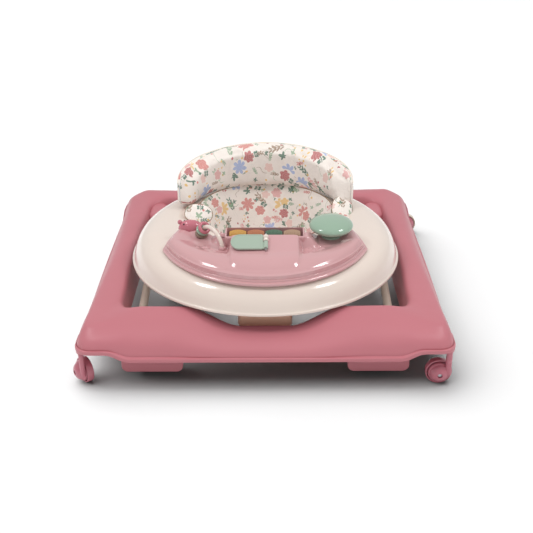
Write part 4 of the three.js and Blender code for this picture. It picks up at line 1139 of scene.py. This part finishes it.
def make_seat_back():
    inset, rings, steps = 2.5, [], 44
    for i in range(steps + 1):
        a = lerp(BACK_END, math.pi - BACK_END, i / steps)
        near = min(i, steps - i)
        pinch = (9, 4, 1.6, 0.5)[near] if near < 4 else 0.0
        top, foot, t = back_top(a) - inset - 1.4 * pinch, BACK_FOOT + inset + 0.8 * pinch, BACK_THICK - inset
        skirt = t + 17 * math.cos(a) ** 2
        rings.append([around(inset + pinch, a, foot + 8), around(inset + pinch, a, lerp(foot, top, 0.6)),
                      around(5 + pinch, a, top - 7), around(11, a, top - 0.5), around(18, a, top - 1),
                      around(t - 3 - pinch, a, top - 8), around(lerp(t, skirt, 0.25) - pinch, a, top - 21),
                      around(skirt - pinch, a, foot + 7), around(skirt - 4 - pinch / 2, a, foot),
                      around(6 + pinch / 2, a, foot)])
    back = loft("padded_back", rings)
    inflate(back, 5.0, 4.0, 5.0)
    modify(back, "SUBSURF", levels=1, render_levels=1)

    def section(p):
        a = math.atan2((p.y - SEAT_Y) / (BACK_Y - 12), (p.x - SEAT_X) / (BACK_X - 12))
        a = max(0.0, min(math.pi, a))
        middle = around(12, a, 0)
        outward = Vector((math.cos(a), math.sin(a)))
        depth = -((p.x - middle.x) * outward.x + (p.y - middle.y) * outward.y)
        return a, depth

    for vertex in back.data.vertices:
        p = vertex.co / MM
        a, depth = section(p)
        inward = Vector((-math.cos(a), -math.sin(a), 0))
        drop = back_top(a) - p.z
        inner = smooth_step((depth - 2) / 8)
        fold = wobble(a * 5.5, drop * 0.012, 1.0) + 0.5 * wobble(a * 15, drop * 0.03, 4.0)
        pucker = math.sin(a * 46) * smooth_step((drop - back_top(a) + BACK_FOOT + 26) / 22)
        rim = math.exp(-((drop - 19) / 3.0) ** 2)
        shift = inner * (1.7 * fold + 0.5 * pucker - 1.5 * rim)
        vertex.co = (p + inward * shift) * MM

    def cloth_place(p):
        a, depth = section(p)
        top = back_top(a) - 12
        rise = p.z - top
        if rise > 0:
            return a * 158, -12 * math.atan2(depth, rise)
        return a * 158, math.copysign(12 * math.pi / 2 - rise, -depth)

    set_uv(back, cloth_place)
    dress(back, FLORAL, "tray", "floral_fabric", "seat_back", angle=80)

    surface = BVHTree.FromPolygons([v.co.copy() for v in back.data.vertices],
                                   [list(f.vertices) for f in back.data.polygons])
    edge = []
    for i in range(91):
        a = lerp(BACK_END + 0.05, math.pi - BACK_END - 0.05, i / 90)
        end = smooth_step(min(i, 90 - i) / 10)
        spot, normal = surface.find_nearest(around(4.0, a, back_top(a) - 3 - 16 * (1 - end)) * MM)[:2]
        edge.append(spot / MM + normal * 0.6)
    for _ in range(3):
        edge = [edge[0]] + [(p + 2 * q + r) / 4 for p, q, r in zip(edge, edge[1:], edge[2:])] + [edge[-1]]
    piping = sweep("back_piping", edge, 1.5, 12)
    set_uv(piping, lambda p: (0.4 * p.x + 300, 0.4 * p.y))
    dress(piping, PIPING, "tray", "floral_fabric", angle=80)


# The lining at the rear and at the front: [in from the hole's edge, height], from the seam to the floor.
LINING_REAR = [(2.5, 194), (5.5, 186), (13, 172), (20, 152), (28, 128), (38, 102), (50, 76), (64, 52),
               (78, 41), (110, 39)]
LINING_FRONT = [(0.8, 186.5), (2, 180), (5.5, 168), (11, 148), (19, 122), (29, 96), (43, 72), (58, 52),
                (76, 41), (110, 39)]


def make_lining():
    """The cloth bucket inside the seat ring, with soft folds and two leg holes."""
    stations, radius, cloth = 168, 140.8, 2.4
    rings = []
    for i in range(stations):
        a = 2 * math.pi * i / stations
        rear = smooth_step(0.5 + 1.6 * math.sin(a))
        shape = [Vector((lerp(f[0], r[0], rear), lerp(f[1], r[1], rear)))
                 for f, r in zip(LINING_FRONT, LINING_REAR)]
        line = spline(shape, 4)
        outer, inner = [], []
        for k, (d, z) in enumerate(line):
            depth = k / (len(line) - 1)
            loose = math.sin(math.pi * min(1, depth * 1.15))
            fold = wobble(math.cos(a) * 2.6, math.sin(a) * 2.6, depth * 1.1)
            fold += 0.45 * wobble(math.cos(a) * 8, math.sin(a) * 8, 3 + depth * 2)
            crease = math.sin(a * 40) * math.exp(-depth * 16) * rear
            r = radius - d - loose * 3.4 * fold + 0.7 * crease
            spot = Vector((SEAT_X + r * math.cos(a), SEAT_Y + r * math.sin(a), z))
            inward = Vector((-math.cos(a), -math.sin(a), 0.25)).normalized()
            outer.append(spot)
            full = 0.35 + 0.65 * math.sin(math.pi * min(1, depth * 12 + 0.15) / 2)
            inner.append(spot + inward * cloth * full)
        rings.append(outer + inner[::-1])
    lining = loft("seat_lining", rings, loop=True)
    for side in (-1, 1):
        hole = drum("leg_hole", 43, -110, 30, 64)
        place(hole, slide(SEAT_X, SEAT_Y, 96)
              @ spin(side * 40, "Z") @ spin(-90, "X")
              @ slide(0, 0, -90))
        cut(lining, hole)
    panel = lathe("seat_floor", curve([(0, 41.5), (20, 41.3), (36, 40.8), (40, 40), (38, 38.6), (20, 38.3),
                                       (0, 38.3)], 3), 96)
    place(panel, slide(SEAT_X, SEAT_Y))

    def cloth_place(p):
        a = math.atan2(p.y - SEAT_Y, p.x - SEAT_X)
        if a < -math.pi / 2:
            a += 2 * math.pi
        r = math.hypot(p.x - SEAT_X, p.y - SEAT_Y)
        return a * 132 + 700, (p.z - 194) - 0.55 * (132 - r) - 26

    set_uv(lining, cloth_place)
    set_uv(panel, lambda p: (p.x, p.y))
    dress(lining, FLORAL, "tray", "floral_fabric", "seat_bucket", angle=60)
    dress(panel, FLORAL, "tray", "floral_fabric", angle=60)

    seam = []
    for i in range(97):
        a = math.pi * (0.04 + 0.92 * i / 96)
        seam.append(Vector((SEAT_X + (radius - 4) * math.cos(a), SEAT_Y + (radius - 4) * math.sin(a), 193.9)))
    welt = sweep("seat_seam", seam, 1.1, 10)
    dress(welt, SEAM, "tray", "floral_fabric", angle=80)


# The lining's padded lobes: name, middle, half width, half depth, and the way the lobe faces.
LOBES = [("left", (-139, 5, 191.5), 28, 21, (0.1, -0.6, 0.8)),
         ("right", (152, 28, 191), 22, 30, (0.3, -0.5, 0.82))]


def make_lobes():
    """The rolled ends of the lining that lap over the ring in front of the padded back."""
    for side, middle, wide, deep, facing in LOBES:
        lobe = unit_sphere(f"lobe_{side}", 5)
        z = Vector(facing).normalized()
        x = Vector((0, 1, 0)).cross(z).normalized()
        spot = Matrix.Translation(Vector(middle) * MM) @ axes(x, z.cross(x), z)
        for vertex in lobe.data.vertices:
            p = vertex.co.copy()
            x, y, z = map(puffed, p)
            wrinkle = 0.6 * noise.noise(p * 2.2 + Vector((wide, 0, 0)))
            vertex.co = Vector((x * wide, y * deep, z * (5.0 + wrinkle) - 3 * x * x)) * MM
        set_uv(lobe, lambda p: (p.x + 3 * wide, p.y + 90))
        place(lobe, spot)
        dress(lobe, FLORAL, "tray", "floral_fabric", angle=80)
        rim = []
        for i in range(72):
            x, y = puffed(math.cos(2 * math.pi * i / 72)), puffed(math.sin(2 * math.pi * i / 72))
            rim.append(Vector((0.99 * x * wide, 0.99 * y * deep, 0.6 - 3 * x * x)))
        edge = sweep(f"lobe_piping_{side}", rim, 0.9, 10, closed=True)
        place(edge, spot)
        dress(edge, SEAM, "tray", "floral_fabric", angle=80)


# ---------- the whole walker ----------
PIPING = moulded("piping_cotton", "efe6da", 0.85, grain=0.00008, grain_scale=2200)

make_base()
for caster in ("front_left", "front_right", "rear_left", "rear_right"):
    make_caster(caster, caster.startswith("rear"))
make_leg("leg_tube_inner", 212, 120, 215 + OVERRUN, CROSS_Y - UPPER_ARM, -1, "leg_inner", "leg_frame_inner")
make_leg("leg_tube_outer", 235, 150, -218 - OVERRUN, CROSS_Y + UPPER_ARM, 1, "leg_outer", "leg_frame_outer")
make_tray()
make_seat_ring()
make_toy_tray()
make_rollers()
make_mushroom()
make_page()
make_animal()
make_arch()
make_lever()
make_seat_back()
make_lining()
make_lobes()

# Plain CAD nodes that come once on each side: node, name here, material, slot and the edge's rounding.
PAIRS = [("leg_plug_inner", "plug_inner", PINK_TRIM, "trim_pink", 0.5),
         ("leg_plug_outer", "plug_outer", PINK_TRIM, "trim_pink", 0.5),
         ("rear_pivot_pin", "pivot_pin", STEEL, "steel", 0.5),
         ("cross_pin", "cross_rivet", STEEL, "steel", 0.5),
         ("front_slide_pin", "slide_pin", STEEL, "steel", 0.5),
         ("front_runner", "runner", PINK, "base_pink", 0.8),
         ("rear_clamp", "clamp", PINK, "base_pink", 1.0),
         ("height_rack", "rack", PINK, "base_pink", 0.8)]
for side in ("left", "right"):
    for end in ("front", "rear"):
        polish(f"stop_pad_{end}_{side}", f"pad_{end}_{side}", RUBBER, "pad_rubber", 0.8)
    for node, name, *looks in PAIRS:
        polish(f"{node}_{side}", f"{name}_{side}", *looks)
polish("adjuster_housing", "latch_housing", PINK, "base_pink", 1.0)


# ---------- camera, floor and light ----------
# The camera that was fitted to the photo, in metres, and the light's strengths.
PITCH, YAW, ROLL = math.radians(26.7), math.radians(-0.31), math.radians(-0.39)
CAMERA_SPOT, LENS = (0.0056, -1.6336, 0.8953), 59.76
FLOOR_GREY, WORLD_STRENGTH, WASH_STRENGTH = 0.16, 0.66, 16.4
ahead = Vector((math.sin(YAW) * math.cos(PITCH), math.cos(YAW) * math.cos(PITCH), -math.sin(PITCH)))
level = Vector((math.cos(YAW), -math.sin(YAW), 0))
overhead = level.cross(ahead)
right = level * math.cos(ROLL) + overhead * math.sin(ROLL)
above = overhead * math.cos(ROLL) - level * math.sin(ROLL)
camera_data = bpy.data.cameras.new("camera")
camera_data.sensor_width = 36
camera_data.lens = LENS
camera = bpy.data.objects.new("camera", camera_data)
camera.matrix_world = Matrix.Translation(CAMERA_SPOT) @ axes(right, above, -ahead)
scene.collection.objects.link(camera)
scene.camera = camera
scene.view_settings.view_transform = "Standard"

floor = new_object("floor", [(-30, -30, 0), (30, -30, 0), (30, 30, 0), (-30, 30, 0)], [(0, 1, 2, 3)], 1)
floor_look = Graph("pale_floor")
floor_look.set(Base_Color=(FLOOR_GREY,) * 3 + (1,), Roughness=0.9)
floor.data.materials.append(floor_look.material)


def soft_box(name, location, size, power, seen=True, aim=(0, 0, 0.1)):
    light = bpy.data.lights.new(name, "AREA")
    light.shape = "DISK"
    light.size = size
    light.energy = power
    lamp = bpy.data.objects.new(name, light)
    lamp.location = location
    lamp.rotation_mode = "QUATERNION"
    lamp.rotation_quaternion = (Vector(aim) - Vector(location)).to_track_quat("-Z", "Y")
    lamp.visible_glossy = seen
    scene.collection.objects.link(lamp)


soft_box("overhead", (0, -0.2, 2.6), 1.8, 15, seen=False)
soft_box("left_box", (-1.2, -0.42, 2.0), 0.5, 9)
soft_box("right_box", (1.2, -0.42, 2.0), 0.5, 9)
world = bpy.data.worlds.new("studio")
world.use_nodes = True
sky = world.node_tree.nodes["Background"].inputs
sky["Color"].default_value = (1, 1, 1, 1)
sky["Strength"].default_value = WORLD_STRENGTH
scene.world = world

# A wash for the floor alone, so the floor is white while the walker keeps its own exposure.
wash = bpy.data.lights.new("floor_wash", "SUN")
wash.angle = math.radians(84)
wash.energy = WASH_STRENGTH
wash_lamp = bpy.data.objects.new("floor_wash", wash)
wash_lamp.rotation_euler = (math.radians(-8), math.radians(-24), 0)
scene.collection.objects.link(wash_lamp)
floor_only = bpy.data.collections.new("floor_only")
floor_only.objects.link(floor)
wash_lamp.light_linking.receiver_collection = floor_only
